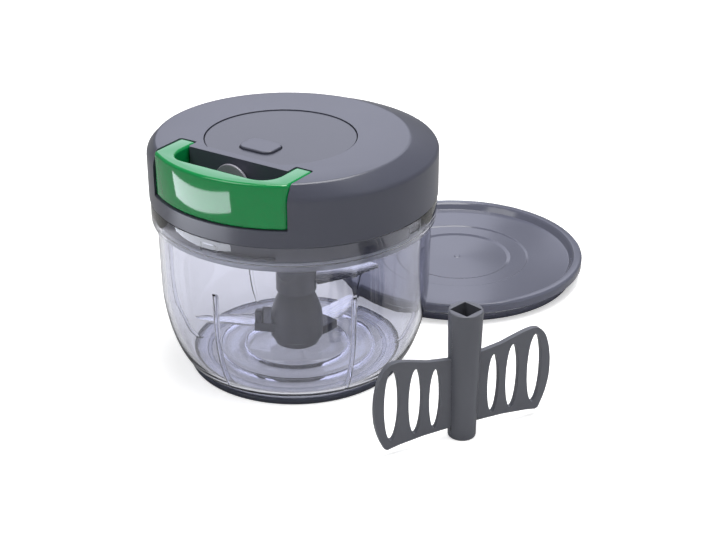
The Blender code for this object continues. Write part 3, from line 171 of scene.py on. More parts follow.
def strand(points, radius, sides=16):
    """A round cord or wire through a list of points."""
    bm = bmesh.new()
    last = len(points) - 1
    rings = []
    for i, point in enumerate(points):
        forward = (points[min(i + 1, last)] - points[max(i - 1, 0)]).normalized()
        side = forward.cross(Vector((0, 0, 1))).normalized()
        up = side.cross(forward)
        turns = [2 * math.pi * k / sides for k in range(sides)]
        rings.append([bm.verts.new(point + (side * math.cos(a) + up * math.sin(a)) * radius) for a in turns])
    for first, second in zip(rings, rings[1:]):
        for k in range(sides):
            bm.faces.new((first[k], first[k - 1], second[k - 1], second[k]))
    bm.faces.new(rings[0])
    bm.faces.new(rings[-1])
    bmesh.ops.recalc_face_normals(bm, faces=bm.faces)
    return bm


def moved(bm, matrix):
    bmesh.ops.transform(bm, matrix=matrix, verts=bm.verts)
    return bm


def turn_z(degrees):
    return Matrix.Rotation(math.radians(degrees), 4, "Z")


def eased(bm, edges, width, segments=3, clamp=True):
    """Rounds some edges of a mesh."""
    bmesh.ops.bevel(
        bm,
        geom=list(edges),
        offset=width,
        offset_type="OFFSET",
        segments=segments,
        profile=0.5,
        affect="EDGES",
        material=-1,
        clamp_overlap=clamp,
    )
    return bm


# %% Cutting and joining
def linked(name, bm):
    """Hands a bmesh over to a new object in the scene."""
    mesh = bpy.data.meshes.new(name)
    bm.to_mesh(mesh)
    bm.free()
    made = bpy.data.objects.new(name, mesh)
    bpy.context.scene.collection.objects.link(made)
    return made


def changed(bm, others, operation):
    """Cuts the other meshes from this one, or joins them to it, with Boolean modifiers."""
    main = linked("temporary", bm)
    helpers = [linked("temporary", other) for other in others]
    for helper in helpers:
        boolean = main.modifiers.new("change", "BOOLEAN")
        boolean.operation = operation
        boolean.object = helper
        boolean.solver = "EXACT"
    bpy.context.view_layer.update()
    graph = bpy.context.evaluated_depsgraph_get()
    mesh = bpy.data.meshes.new_from_object(main.evaluated_get(graph))
    result = bmesh.new()
    result.from_mesh(mesh)
    for made in (main, *helpers):
        bpy.data.objects.remove(made, do_unlink=True)
    bpy.data.meshes.remove(mesh)
    bmesh.ops.remove_doubles(result, verts=result.verts, dist=WELD)
    return result


def cut(bm, *others):
    return changed(bm, others, "DIFFERENCE")


def joined(bm, *others):
    return changed(bm, others, "UNION")


# %% Making the finished piece
SMOOTH_ANGLE = 32


def piece(name, bm, finish, body, replaces=(), bevel=0, segments=3, angle=SMOOTH_ANGLE):
    """Turns a bmesh into a piece that has a finish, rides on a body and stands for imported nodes."""
    made = linked(name, bm)
    mesh = made.data
    mesh.materials.append(finish)
    mesh.shade_smooth()
    mesh.set_sharp_from_angle(angle=math.radians(angle))
    if bevel:
        edge = made.modifiers.new("edges", "BEVEL")
        edge.width = bevel
        edge.segments = segments
        edge.limit_method = "ANGLE"
        edge.angle_limit = math.radians(angle)
        edge.use_clamp_overlap = True
        edge.harden_normals = False
    if body:
        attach(made, body)
    if replaces:
        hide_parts(*replaces)
    print(f"{name}: {len(mesh.polygons)} faces")
    return made


# %% [markdown]
# ## Finishes
# Each finish starts from what the real material is and how its surface was made. Colours are sRGB hex
# values. One function turns them linear, and one adds a node with its settings and links.

# %% Colour and node helpers
def colour(code):
    """An sRGB hex value such as 6A6C78 as linear red, green, blue and alpha."""
    shares = [int(code[i : i + 2], 16) / 255 for i in (0, 2, 4)]
    return (*[s / 12.92 if s <= 0.04045 else ((s + 0.055) / 1.055) ** 2.4 for s in shares], 1)


def add(tree, kind, inputs=(), **settings):
    """Adds a node, sets its properties, and sets or links its inputs by name or number."""
    made = tree.nodes.new(kind)
    for name, value in settings.items():
        setattr(made, name, value)
    for name, value in dict(inputs).items():
        if isinstance(value, bpy.types.NodeSocket):
            tree.links.new(value, made.inputs[name])
        else:
            made.inputs[name].default_value = value
    return made


def new_finish(name, base, **plain):
    """A material whose shader has its plain values set on its own sockets."""
    made = bpy.data.materials.new(name)
    made.use_nodes = True
    tree = made.node_tree
    shader = tree.nodes["Principled BSDF"]
    shader.inputs["Base Color"].default_value = colour(base)
    for socket, value in plain.items():
        shader.inputs[socket.replace("_", " ")].default_value = value
    made.diffuse_color = colour(base)
    return made, tree, shader


def ramp(tree, factor, stops):
    """A colour ramp through (place, colour) stops."""
    made = add(tree, "ShaderNodeValToRGB", {"Fac": factor})
    elements = made.color_ramp.elements
    while len(elements) < len(stops):
        elements.new(0.5)
    for element, (place, value) in zip(elements, stops):
        element.position = place
        element.color = value
    return made.outputs["Color"]


def noise(tree, place, size, detail, rough=0.5):
    """Noise whose largest features are about this size."""
    settings = {"Vector": place, "Scale": 1 / size, "Detail": detail, "Roughness": rough}
    return add(tree, "ShaderNodeTexNoise", settings).outputs["Fac"]


def ranged(tree, value, low, high, to_low, to_high):
    """Maps a value from one range to another."""
    settings = {"Value": value, "From Min": low, "From Max": high, "To Min": to_low, "To Max": to_high}
    return add(tree, "ShaderNodeMapRange", settings).outputs["Result"]


def bumped(tree, shader, height, depth):
    """Lets a value raise the surface by up to this depth."""
    bump = add(tree, "ShaderNodeBump", {"Height": height, "Strength": 1, "Distance": depth})
    tree.links.new(bump.outputs["Normal"], shader.inputs["Normal"])


# %% Moulded plastic
def moulded(name, base, roughness, grain, depth, drift=0.05, tint=0.06, **plain):
    """Injection-moulded plastic: a spark-eroded grain in the bump, and slow drifts of gloss and tone."""
    made, tree, shader = new_finish(name, base, **plain)
    place = add(tree, "ShaderNodeTexCoord").outputs["Object"]
    flow = noise(tree, place, 35 * MM, 1, 0.4)
    gloss = ranged(tree, flow, 0.1, 0.9, roughness - drift, roughness + drift)
    tree.links.new(gloss, shader.inputs["Roughness"])
    light = [min(1, c * (1 + tint)) for c in colour(base)[:3]]
    dark = [c * (1 - tint) for c in colour(base)[:3]]
    tone = ramp(tree, flow, [(0.1, (*dark, 1)), (0.9, (*light, 1))])
    tree.links.new(tone, shader.inputs["Base Color"])
    bumped(tree, shader, noise(tree, place, grain, 4, 0.6), depth)
    return made


FINE = {"drift": 0.02, "tint": 0.03}
FINER = {"drift": 0.01, "tint": 0.02}
# ABS lid top: satin from fine spark erosion. The real grain is about 0.1 mm and is drawn at 0.6 mm to show.
LID_ABS = moulded("satin_grey_abs", "4C4E5B", 0.30, 0.6 * MM, 0.004 * MM, IOR=1.53, **FINE)
# The disc has a slightly finer, darker surface of the same plastic.
DISC_ABS = moulded("fine_satin_grey_abs", "42444F", 0.28, 0.5 * MM, 0.003 * MM, IOR=1.53, **FINER)
# The underside and the blade post are polypropylene with a plain polished mould: a little waxy.
INNER_PP = moulded("moulded_grey_polypropylene", "4B4D58", 0.30, 0.8 * MM, 0.008 * MM, IOR=1.49)
# The storage lid is glossier, with long soft reflections.
STORAGE_PP = moulded("glossy_grey_polypropylene", "5F6170", 0.12, 9 * MM, 0.010 * MM, drift=0.03, IOR=1.49)
# The paddle is matte from a sand-blasted mould.
PADDLE_PP = moulded("matte_dark_grey_polypropylene", "5A5C64", 0.32, 0.5 * MM, 0.006 * MM, IOR=1.49)
# Polished ABS keeps a mirror-like skin. Only a slow waviness from moulding breaks its reflections.
POLISH = {"IOR": 1.54, "Coat_Weight": 0.25, "Coat_Roughness": 0.03}
HANDLE_ABS = moulded(
    "polished_green_abs", "008543", 0.07, 9 * MM, 0.010 * MM, drift=0.02, tint=0.04, **POLISH
)
# The cord guide is a waxier grey than the lid around it, painted paler: painted light for the light it
# catches in the notch.
GUIDE_GREY_PAINTED_LIT = moulded("waxy_grey_plastic_painted_lit", "86848E", 0.22, 0.8 * MM, 0.004 * MM, IOR=1.48)
WAXY = {"IOR": 1.48, "Subsurface_Weight": 0.1}
ACETAL = moulded("natural_white_acetal", "DAD8D0", 0.34, 0.8 * MM, 0.006 * MM, **WAXY)

# %% Base pad's clear elastomer
# The pad is clear with a dark edge, so the bowl's floor stays bright and its foot reads dark.
PAD_EDGE = 49.4 * MM
PAD_CLEAR = 0.95
PAD_RUBBER = moulded("clear_soft_elastomer", "D3D5E0", 0.2, 0.8 * MM, 0.006 * MM, IOR=1.41)
pad_tree = PAD_RUBBER.node_tree
pad_shader = pad_tree.nodes["Principled BSDF"]
pad_place = add(pad_tree, "ShaderNodeTexCoord").outputs["Object"]
pad_flat = add(pad_tree, "ShaderNodeVectorMath", {0: pad_place, 1: (1, 1, 0)}, operation="MULTIPLY")
pad_reach = add(pad_tree, "ShaderNodeVectorMath", {0: pad_flat.outputs["Vector"]}, operation="LENGTH")
pad_clear = ranged(pad_tree, pad_reach.outputs["Value"], PAD_EDGE - MM, PAD_EDGE, PAD_CLEAR, 0)
pad_tree.links.new(pad_clear, pad_shader.inputs["Transmission Weight"])
pad_tone = ramp(pad_tree, pad_clear, [(0, colour("3A3D47")), (0.9, colour("D3D5E0"))])
pad_tree.links.new(pad_tone, pad_shader.inputs["Base Color"])
print("moulded plastics made")


# %% [markdown]
# ## Clear plastic
# The bowl is SAN, a clear stiff plastic that refracts a little more than glass. Its polished mould leaves
# hardly any roughness. A faint lavender tint in the colour is what a thick clear wall shows at its edges.

# %% Clear plastic and silicone
def clear_plastic(name, base, roughness, ior):
    made, tree, shader = new_finish(name, base, Roughness=roughness, IOR=ior, Transmission_Weight=1)
    place = add(tree, "ShaderNodeTexCoord").outputs["Object"]
    bumped(tree, shader, noise(tree, place, 14 * MM, 2), 0.03 * MM)
    return made


CLEAR_SAN = clear_plastic("clear_polished_san", "E9EAF3", 0.015, 1.57)

SILICONE, silicone_tree, silicone_shader = new_finish(
    "translucent_silicone", "C9CBD2", Roughness=0.35, IOR=1.41, Transmission_Weight=0.55
)
silicone_place = add(silicone_tree, "ShaderNodeTexCoord").outputs["Object"]
silicone_dust = noise(silicone_tree, silicone_place, 1.5 * MM, 3)
silicone_gloss = ranged(silicone_tree, silicone_dust, 0, 1, 0.28, 0.45)
silicone_tree.links.new(silicone_gloss, silicone_shader.inputs["Roughness"])
print("clear plastics made")


# %% [markdown]
# ## Metals
# The blades are stainless strip, ground along their length. Grinding leaves fine lines, so a noise is
# stretched along one direction and drives the roughness and a very small bump.

# %% Steel
def ground_steel(name, base, roughness, spacing, length, depth, turn=0):
    made, tree, shader = new_finish(name, base, Metallic=1)
    place = add(tree, "ShaderNodeTexCoord").outputs["Object"]
    laid = add(
        tree,
        "ShaderNodeMapping",
        {"Vector": place, "Rotation": (0, 0, math.radians(turn)), "Scale": (length, spacing, spacing)},
        vector_type="TEXTURE",
    ).outputs["Vector"]
    lines = noise(tree, laid, 1, 3, 0.6)
    gloss = ranged(tree, lines, 0.3, 0.7, roughness * 0.7, roughness * 1.4)
    tree.links.new(gloss, shader.inputs["Roughness"])
    dull = [0.86 * c for c in colour(base)[:3]]
    tone = ramp(tree, lines, [(0.3, (*dull, 1)), (0.7, colour(base))])
    tree.links.new(tone, shader.inputs["Base Color"])
    bumped(tree, shader, lines, depth)
    return made


SPRING_STEEL = ground_steel("drawn_spring_steel", "B9B7B4", 0.32, 0.3 * MM, 8 * MM, 0.004 * MM)
TURNED_STEEL = ground_steel("turned_stainless_steel", "D5D4D2", 0.20, 0.3 * MM, 12 * MM, 0.003 * MM)
print("metals made")

# %% [markdown]
# ## Cord
# The cord is braided polyester. The braid is two sets of diagonal waves on the piece's own coordinates. Its
# strands are about 0.5 mm wide, coarse enough to show when the handle is pulled out.

# %% Braided cord
CORD, cord_tree, cord_shader = new_finish("braided_polyester_cord", "D9D9D6", Roughness=0.8, Sheen_Weight=0.3)
cord_place = add(cord_tree, "ShaderNodeTexCoord").outputs["Object"]
strands = []
for lean in (40, -40):
    slant = (math.radians(lean), 0, math.radians(lean))
    laid = add(cord_tree, "ShaderNodeMapping", {"Vector": cord_place, "Rotation": slant}).outputs["Vector"]
    wave = {"Vector": laid, "Scale": 1 / (3 * MM), "Distortion": 0}
    strands.append(add(cord_tree, "ShaderNodeTexWave", wave).outputs["Fac"])
braid = add(cord_tree, "ShaderNodeMath", dict(enumerate(strands)), operation="MAXIMUM").outputs["Value"]
cord_tone = ramp(cord_tree, braid, [(0.2, colour("9A9A96")), (0.8, colour("DEDEDA"))])
cord_tree.links.new(cord_tone, cord_shader.inputs["Base Color"])
bumped(cord_tree, cord_shader, braid, 0.15 * MM)
print("cord finish made")

# %% [markdown]
# ## Bowl
# The bowl is one moulding: a collar that takes the lid's skirt, a ledge for the seal, a belly that rounds
# in to a narrow foot, six thin ribs inside, two rings and a boss on the floor. The wall is spun in one
# closed loop, so it has a true thickness to bend light. The ribs and the bayonet lugs are joined to it
# afterwards.

# %% Bowl wall
COLLAR_WALL = 2.1 * MM
COLLAR_BOTTOM_Z = BOWL_TOP_Z - 11.1 * MM
LEDGE_TOP_Z = COLLAR_BOTTOM_Z + 1.8 * MM
NECK_RADIUS = 63.7 * MM
NECK_INNER = NECK_RADIUS - 2.2 * MM
WAIST_RADIUS = 63.2 * MM
WAIST_INNER = WAIST_RADIUS - 2.2 * MM
WAIST_Z = 42 * MM
FOOT_RADIUS = 49.7 * MM
FLOOR_RADIUS = FOOT_RADIUS - 1 * MM
FLOOR_Z = BOWL_BOTTOM_Z + 2.8 * MM
BELLY_POWER = 1.7
BELLY_STEPS = 28
BOSS_TOP_Z = FLOOR_Z + 6 * MM
PIN_RADIUS = 2 * MM
PIN_SEAT_Z = BOSS_TOP_Z - 5.3 * MM


def belly(foot, waist, low_z, high_z, steps=BELLY_STEPS):
    """The rounded lower wall, from its waist down to its foot, on a superellipse."""
    found = []
    for i in range(steps + 1):
        height_share = math.sin(math.pi / 2 * i / steps)
        out_share = (1 - height_share**BELLY_POWER) ** (1 / BELLY_POWER) if i < steps else 0
        found.append((foot + (waist - foot) * out_share, high_z - (high_z - low_z) * height_share))
    return found


foot_step_z = BOWL_BOTTOM_Z + 1.8 * MM
outside = [
    (COLLAR_RADIUS - COLLAR_WALL, BOWL_TOP_Z, 0.5 * MM),
    (COLLAR_RADIUS, BOWL_TOP_Z, 0.5 * MM),
    (COLLAR_RADIUS, COLLAR_BOTTOM_Z, 1 * MM),
    (NECK_RADIUS, COLLAR_BOTTOM_Z, 0.6 * MM),
]
outer_belly = belly(FOOT_RADIUS, WAIST_RADIUS, BOWL_BOTTOM_Z, WAIST_Z)
outside += [point for point in outer_belly if point[1] > foot_step_z]
outside += [(FOOT_RADIUS, BOWL_BOTTOM_Z + 1 * MM), (FOOT_RADIUS - 0.6 * MM, BOWL_BOTTOM_Z)]
outside.append((0, BOWL_BOTTOM_Z))

inside = [(0, PIN_SEAT_Z), (PIN_RADIUS + GAP, PIN_SEAT_Z), (PIN_RADIUS + GAP, BOSS_TOP_Z)]
inside += [(4.2 * MM, BOSS_TOP_Z, 0.5 * MM), (6 * MM, FLOOR_Z, 0.8 * MM)]
for radius in (25 * MM, 37 * MM):
    inside += [(radius - 1 * MM, FLOOR_Z), (radius, FLOOR_Z + 0.7 * MM, 0.5 * MM), (radius + 1 * MM, FLOOR_Z)]
inside += list(reversed(belly(FLOOR_RADIUS, WAIST_INNER, FLOOR_Z, WAIST_Z)))
inside += [(NECK_INNER, LEDGE_TOP_Z, 0.5 * MM), (COLLAR_RADIUS - COLLAR_WALL, LEDGE_TOP_Z, 0.4 * MM)]
bowl_wall = turned(rounded(inside + outside))

# %% Ribs, lugs and the finished bowl
RIB_COUNT = 6
RIB_DEPTH = 2 * MM
RIB_HALF = 0.8 * MM
RIB_TOP_Z = 57 * MM
LUG_COUNT = 4
LUG_Z = 81 * MM


def rib(degrees):
    """A thin upright fin that follows the inner wall, with a soft free edge."""
    inner = belly(FLOOR_RADIUS - RIB_DEPTH, WAIST_INNER - RIB_DEPTH, FLOOR_Z - 0.5 * MM, WAIST_Z)
    outer = belly(FLOOR_RADIUS + 0.7 * MM, WAIST_INNER + 0.7 * MM, FLOOR_Z - 0.5 * MM, WAIST_Z)
    head = arc(WAIST_INNER, RIB_TOP_Z - RIB_DEPTH, RIB_DEPTH, 90, 180, CORNER_STEPS)
    outline = [(WAIST_INNER + 0.7 * MM, RIB_TOP_Z)] + head + inner + list(reversed(outer))
    bm = slab(outline, -RIB_HALF, RIB_HALF)
    sides = [edge for edge in bm.edges if abs(edge.verts[0].co.z - edge.verts[1].co.z) < WELD]
    eased(bm, sides, RIB_HALF * 0.6, 2)
    return moved(bm, turn_z(degrees) @ Matrix.Rotation(math.pi / 2, 4, "X"))


def lug(degrees):
    """An oblong stud on the inside of the collar that runs in the lid's bayonet slot."""
    half, height = 4 * MM, 1.3 * MM
    outline = arc(half - height, 0, height, -90, 90, 10) + arc(height - half, 0, height, 90, 270, 10)
    bm = slab(outline, 0, 2.4 * MM)
    inner = COLLAR_RADIUS - COLLAR_WALL - 1.4 * MM
    place = turn_z(degrees) @ Matrix.Translation((0, -inner, LUG_Z)) @ Matrix.Rotation(math.pi / 2, 4, "X")
    return moved(bm, place)


additions = [rib(-90 + 360 * i / RIB_COUNT) for i in range(RIB_COUNT)]
additions += [lug(360 * i / LUG_COUNT) for i in range(LUG_COUNT)]
clear_bowl = piece(
    "clear_bowl", joined(bowl_wall, *additions), CLEAR_SAN, "bowl_base", ["bowl"], angle=40
)
clear_bowl.visible_shadow = False

# %% Base pad
pad_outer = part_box("base_pad")[1].x
pad_inner = FOOT_RADIUS + GAP
pad_floor_z = 2.4 * MM
pad_profile = [
    (0, pad_floor_z),
    (pad_inner, pad_floor_z),
    (pad_outer, pad_floor_z, 0.6 * MM),
    (pad_outer, 0, 1 * MM),
    (pad_outer - 8 * MM, 0, 0.3 * MM),
    (pad_outer - 8.4 * MM, 0.4 * MM),
    (pad_outer - 10 * MM, 0.4 * MM),
    (pad_outer - 10.4 * MM, 0, 0.3 * MM),
    (0, 0),
]
piece("soft_base_pad", turned(rounded(pad_profile)), PAD_RUBBER, "bowl_base", ["base_pad"])

# %% [markdown]
# ## Seal and lower cover
# The seal is a thin silicone angle on the bowl's ledge. The lower cover closes the lid from below. Its
# skirt drops into the bowl's collar, where it shows through the clear wall, and its slots take the bowl's
# lugs.

# %% Seal
seal_low, seal_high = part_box("lid_seal")
skirt_radius = COLLAR_RADIUS - COLLAR_WALL - GAP
lip_outer = NECK_INNER - GAP
seal_wall = 1 * MM
seal_profile = [
    (lip_outer - seal_wall, seal_high.z),
    (skirt_radius, seal_high.z, 0.4 * MM),
    (skirt_radius, seal_high.z - seal_wall, 0.3 * MM),
    (lip_outer, seal_high.z - seal_wall),
    (lip_outer, seal_low.z, 0.4 * MM),
    (lip_outer - seal_wall, seal_low.z, 0.4 * MM),
]
seal_mesh = turned(rounded(seal_profile, closed=True), closed=True)
piece("silicone_seal", seal_mesh, SILICONE, "seal", ["lid_seal"])

# %% Lower cover
cover_top_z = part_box("lower_cover")[1].z
COVER_PLATE_Z = SEAM_Z + 2.5 * MM
SKIRT_BOTTOM_Z = seal_high.z + GAP
SKIRT_WALL = 2.4 * MM
PLUG_RADIUS = NECK_INNER - GAP - seal_wall - GAP
PLUG_BOTTOM_Z = SEAM_Z - 10 * MM
HUB_RADIUS = 10.4 * MM
HUB_BOTTOM_Z = SEAM_Z - 4 * MM
BUSH_HOLE = 8.8 * MM
SCREW_PLACES = [(49 * MM, -13 * MM), (-49 * MM, -13 * MM), (35 * MM, 36 * MM), (-35 * MM, 36 * MM)]
fit_radius = LID_RADIUS - 2.8 * MM
cover_profile = [
    (BUSH_HOLE, cover_top_z),
    (HUB_RADIUS, cover_top_z, 0.3 * MM),
    (HUB_RADIUS, COVER_PLATE_Z),
    (fit_radius, COVER_PLATE_Z, 0.4 * MM),
    (fit_radius, SEAM_Z + GAP),
    (skirt_radius, SEAM_Z + GAP),
    (skirt_radius, SKIRT_BOTTOM_Z, 0.5 * MM),
    (skirt_radius - SKIRT_WALL, SKIRT_BOTTOM_Z, 0.5 * MM),
    (skirt_radius - SKIRT_WALL, SEAM_Z, 0.5 * MM),
    (PLUG_RADIUS, SEAM_Z, 0.5 * MM),
    (PLUG_RADIUS, PLUG_BOTTOM_Z, 0.5 * MM),
    (PLUG_RADIUS - 2 * MM, PLUG_BOTTOM_Z, 0.5 * MM),
    (PLUG_RADIUS - 2 * MM, SEAM_Z, 0.8 * MM),
    (HUB_RADIUS, SEAM_Z, 0.8 * MM),
    (HUB_RADIUS, HUB_BOTTOM_Z, 0.4 * MM),
    (BUSH_HOLE, HUB_BOTTOM_Z),
]
LOCK_ANGLE = 24
SLOT_DEPTH = 1.8 * MM
SLOT_HALF_HEIGHT = 1.6 * MM
SCREW_HOLE = 1.8 * MM
MARGIN = 5 * MM
slot_half = math.degrees(4.3 * MM / skirt_radius)
cover_cuts = []
for i in range(LUG_COUNT):
    middle = -90 + 360 * i / LUG_COUNT
    reach, back = COLLAR_RADIUS, skirt_radius - SLOT_DEPTH
    run = arc(0, 0, reach, middle - slot_half, middle + LOCK_ANGLE + slot_half, 12)
    run += arc(0, 0, back, middle + LOCK_ANGLE + slot_half, middle - slot_half, 12)
    cover_cuts.append(slab(run, LUG_Z - SLOT_HALF_HEIGHT, LUG_Z + SLOT_HALF_HEIGHT))
    mouth = arc(0, 0, reach, middle - slot_half, middle + slot_half, 6)
    mouth += arc(0, 0, back, middle + slot_half, middle - slot_half, 6)
    cover_cuts.append(slab(mouth, SKIRT_BOTTOM_Z - MARGIN, LUG_Z))
for x, y in SCREW_PLACES:
    cover_cuts.append(rod(SCREW_HOLE, SEAM_Z - MARGIN, cover_top_z + MARGIN, x, y, 24))
cover_mesh = cut(turned(rounded(cover_profile, closed=True), closed=True), *cover_cuts)
piece("lid_underside", cover_mesh, INNER_PP, "lid", ["lower_cover"])

# %% [markdown]
# ## Lid housing
# The housing is a straight wall that slopes in to a flat top. The top circle sits off centre, towards the
# handle, so the slope is wide at the back and runs out at the handle. Rings of edges are extruded and
# scaled one after another, the two crisp edges get small bevels, and the notch, the disc's recess and the
# button's pocket are cut.

# %% Outer body and its hollow
LID_STEPS = 192
SHOULDER_Z = 107.8 * MM
TOP_RADIUS = 57.5 * MM
TOP_OFFSET = 8 * MM
LID_WALL = 2.5 * MM
CUT_OVERRUN = 20 * MM


def lid_body(inset, low_z, shoulder_ease, top_ease):
    """The lid's outer form, or its hollow when inset."""
    rings = [(low_z, LID_RADIUS - inset, 0), (SHOULDER_Z - inset / 2, LID_RADIUS - inset, 0)]
    rings.append((TOP_Z - inset, TOP_RADIUS - inset, -TOP_OFFSET))
    bm = bmesh.new()
    low, radius, shift = rings[0]
    bmesh.ops.create_circle(bm, radius=radius, segments=LID_STEPS)
    bmesh.ops.translate(bm, vec=(0, shift, low), verts=bm.verts)
    loop = list(bm.edges)
    loops = [loop]
    for z, next_radius, next_shift in rings[1:]:
        grown = bmesh.ops.extrude_edge_only(bm, edges=loop)["geom"]
        loop = [item for item in grown if isinstance(item, bmesh.types.BMEdge)]
        ring = [item for item in grown if isinstance(item, bmesh.types.BMVert)]
        share = next_radius / radius
        for vert in ring:
            vert.co = (vert.co.x * share, (vert.co.y - shift) * share + next_shift, z)
        loop = [edge for edge in loop if all(vert in ring for vert in edge.verts)]
        loops.append(loop)
        radius, shift = next_radius, next_shift
    bmesh.ops.holes_fill(bm, edges=[edge for edge in bm.edges if edge.is_boundary], sides=0)
    bmesh.ops.recalc_face_normals(bm, faces=bm.faces)
    if top_ease:
        eased(bm, loops[2], top_ease, 4)
    if shoulder_ease:
        shoulder = [
            edge
            for edge in bm.edges
            if all(abs(vert.co.z - SHOULDER_Z + inset / 2) < WELD for vert in edge.verts)
        ]
        eased(bm, shoulder, shoulder_ease, 5)
    return bm


# %% Notch, disc recess and button pocket
handle_low, handle_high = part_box("pull_handle")
HANDLE_HALF = handle_high.x
NOTCH_FLOOR_Z = handle_low.z - GAP
NOTCH_BACK_Y = 42 * MM
ARM_INNER_X = 27.2 * MM
ARM_TIP_Y = -handle_high.y
disc_low, disc_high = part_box("top_disc")
DISC_RADIUS = 34.3 * MM
DISC_OFFSET = 9.5 * MM
DISC_FRONT_Y = 37.6 * MM
BUTTON_Y = 24.7 * MM
button_low, button_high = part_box("push_button")
BUTTON_HALF_X = button_high.x
BUTTON_HALF_Y = (button_high.y - button_low.y) / 2
BUTTON_CORNER = 4.2 * MM
BUTTON_CAP = 2.4 * MM
BUTTON_POCKET_Z = button_high.z - BUTTON_CAP - 1.8 * MM


def notch(grow, low_z):
    """The handle's notch: a finger well, and a side channel for each arm."""
    half = HANDLE_HALF + GAP + grow
    inner = ARM_INNER_X - GAP - grow
    back = -(NOTCH_BACK_Y - grow)
    channel = -(ARM_TIP_Y - GAP - grow)
    front = -(LID_RADIUS + CUT_OVERRUN)
    side = [(half, front), (half, channel, 1.4 * MM), (inner, channel, 0.8 * MM), (inner, back, 1 * MM)]
    mirrored = [(-corner[0], *corner[1:]) for corner in reversed(side)]
    return slab(rounded(side + mirrored, closed=True), low_z, TOP_Z + CUT_OVERRUN)


def disc_outline(grow):
    radius = DISC_RADIUS + grow
    angle = math.degrees(math.asin((DISC_FRONT_Y + grow - DISC_OFFSET) / radius))
    return arc(0, -DISC_OFFSET, radius, -angle, 180 + angle, 120)


def button_outline(grow):
    x, y, corner = BUTTON_HALF_X + grow, BUTTON_HALF_Y + grow, BUTTON_CORNER + grow
    outline = rounded([(-x, -y, corner), (x, -y, corner), (x, y, corner), (-x, y, corner)], closed=True)
    return [(px, py - BUTTON_Y) for px, py in outline]


# %% The finished housing
hollow = cut(
    lid_body(LID_WALL, SEAM_Z - CUT_OVERRUN, 0, 0),
    notch(LID_WALL, NOTCH_FLOOR_Z - LID_WALL),
    slab(button_outline(1.3 * MM), BUTTON_POCKET_Z - 1 * MM, TOP_Z + CUT_OVERRUN),
)
RECESS_Z = disc_low.z - GAP
CORD_Z = 104.1 * MM
guide_frame = Matrix.Translation((0, -NOTCH_BACK_Y, CORD_Z)) @ Matrix.Rotation(math.pi / 2, 4, "X")
guide_hole = moved(rod(4.6 * MM, -8 * MM, 8 * MM), guide_frame)
housing = cut(
    lid_body(0, SEAM_Z, 1.6 * MM, 0.8 * MM),
    hollow,
    notch(0, NOTCH_FLOOR_Z),
    slab(disc_outline(GAP), RECESS_Z, TOP_Z + CUT_OVERRUN),
    slab(button_outline(GAP), BUTTON_POCKET_Z, TOP_Z + CUT_OVERRUN),
    guide_hole,
)
piece("lid_top", housing, LID_ABS, "lid", ["lid_housing"], bevel=0.3 * MM, segments=2)

# %% Disc panel and button
button_hole = slab(button_outline(GAP), disc_low.z - MM, disc_high.z + MM)
disc = cut(slab(disc_outline(0), disc_low.z, disc_high.z), button_hole)
piece("disc_panel", disc, DISC_ABS, "lid", ["top_disc"], bevel=0.35 * MM, segments=3)
button = cut(
    slab(button_outline(0), button_high.z - BUTTON_CAP, button_high.z),
    slab(button_outline(-1.2 * MM), SEAM_Z, button_high.z - 1.2 * MM),
)
button = joined(button, rod(2.2 * MM, button_low.z, button_high.z - 0.6 * MM, 0, -BUTTON_Y, 32))
piece("button_cap", button, LID_ABS, "button", ["push_button"], bevel=0.5 * MM, segments=3)

# %% Button spring
# It stands on the pocket's floor under the button and rides on the lid.
coil_low, coil_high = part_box("button_spring")
COIL_WIRE = 0.3 * MM
COIL_TURNS = 2
coil_radius = (coil_high.x - coil_low.x) / 2 - COIL_WIRE
coil_steps = 24 * COIL_TURNS
coil_rise = coil_high.z - coil_low.z - 2 * COIL_WIRE
coil_points = []
for i in range(coil_steps + 1):
    angle = 2 * math.pi * COIL_TURNS * i / coil_steps
    x, y = coil_radius * math.cos(angle), coil_radius * math.sin(angle) - BUTTON_Y
    coil_points.append(Vector((x, y, coil_low.z + COIL_WIRE + coil_rise * i / coil_steps)))
wire = strand(coil_points, COIL_WIRE, 8)
coil = piece("button_coil", wire, SPRING_STEEL, "lid", ["button_spring"], angle=60)
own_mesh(coil)

# %% [markdown]
# ## Pull handle, cord and guide
# The handle is a thick U of polished plastic that follows the lid's curve. Its outer corners are generous
# and its inner corners are a hand-friendly 9 mm. The cord runs from it through a pale nozzle in a
# bell-mouthed guide.

# %% Handle
HANDLE_RADIUS = -handle_low.y
HANDLE_FACE_Y = 56.5 * MM
ARM_DEPTH = 12 * MM
ARM_ROOT_Y = 47.5 * MM
KNOT_Y = HANDLE_FACE_Y + 4.2 * MM


def handle_outline():
    half = HANDLE_HALF
    corner_y = -math.sqrt(HANDLE_RADIUS**2 - half**2)
    angle = math.degrees(math.asin(half / HANDLE_RADIUS))
    front = arc(0, 0, HANDLE_RADIUS, -90 - angle, -90 + angle, 36)[4:-4]
    right = [
        (half, corner_y, 3.6 * MM),
        (half, -ARM_TIP_Y, 1.6 * MM),
        (ARM_INNER_X, -ARM_TIP_Y, 1.6 * MM),
        (ARM_INNER_X, -HANDLE_FACE_Y, 9 * MM),
    ]
    left = [(-x, y, corner) for x, y, corner in reversed(right)]
    return rounded(front + right + left, closed=True, steps=10)


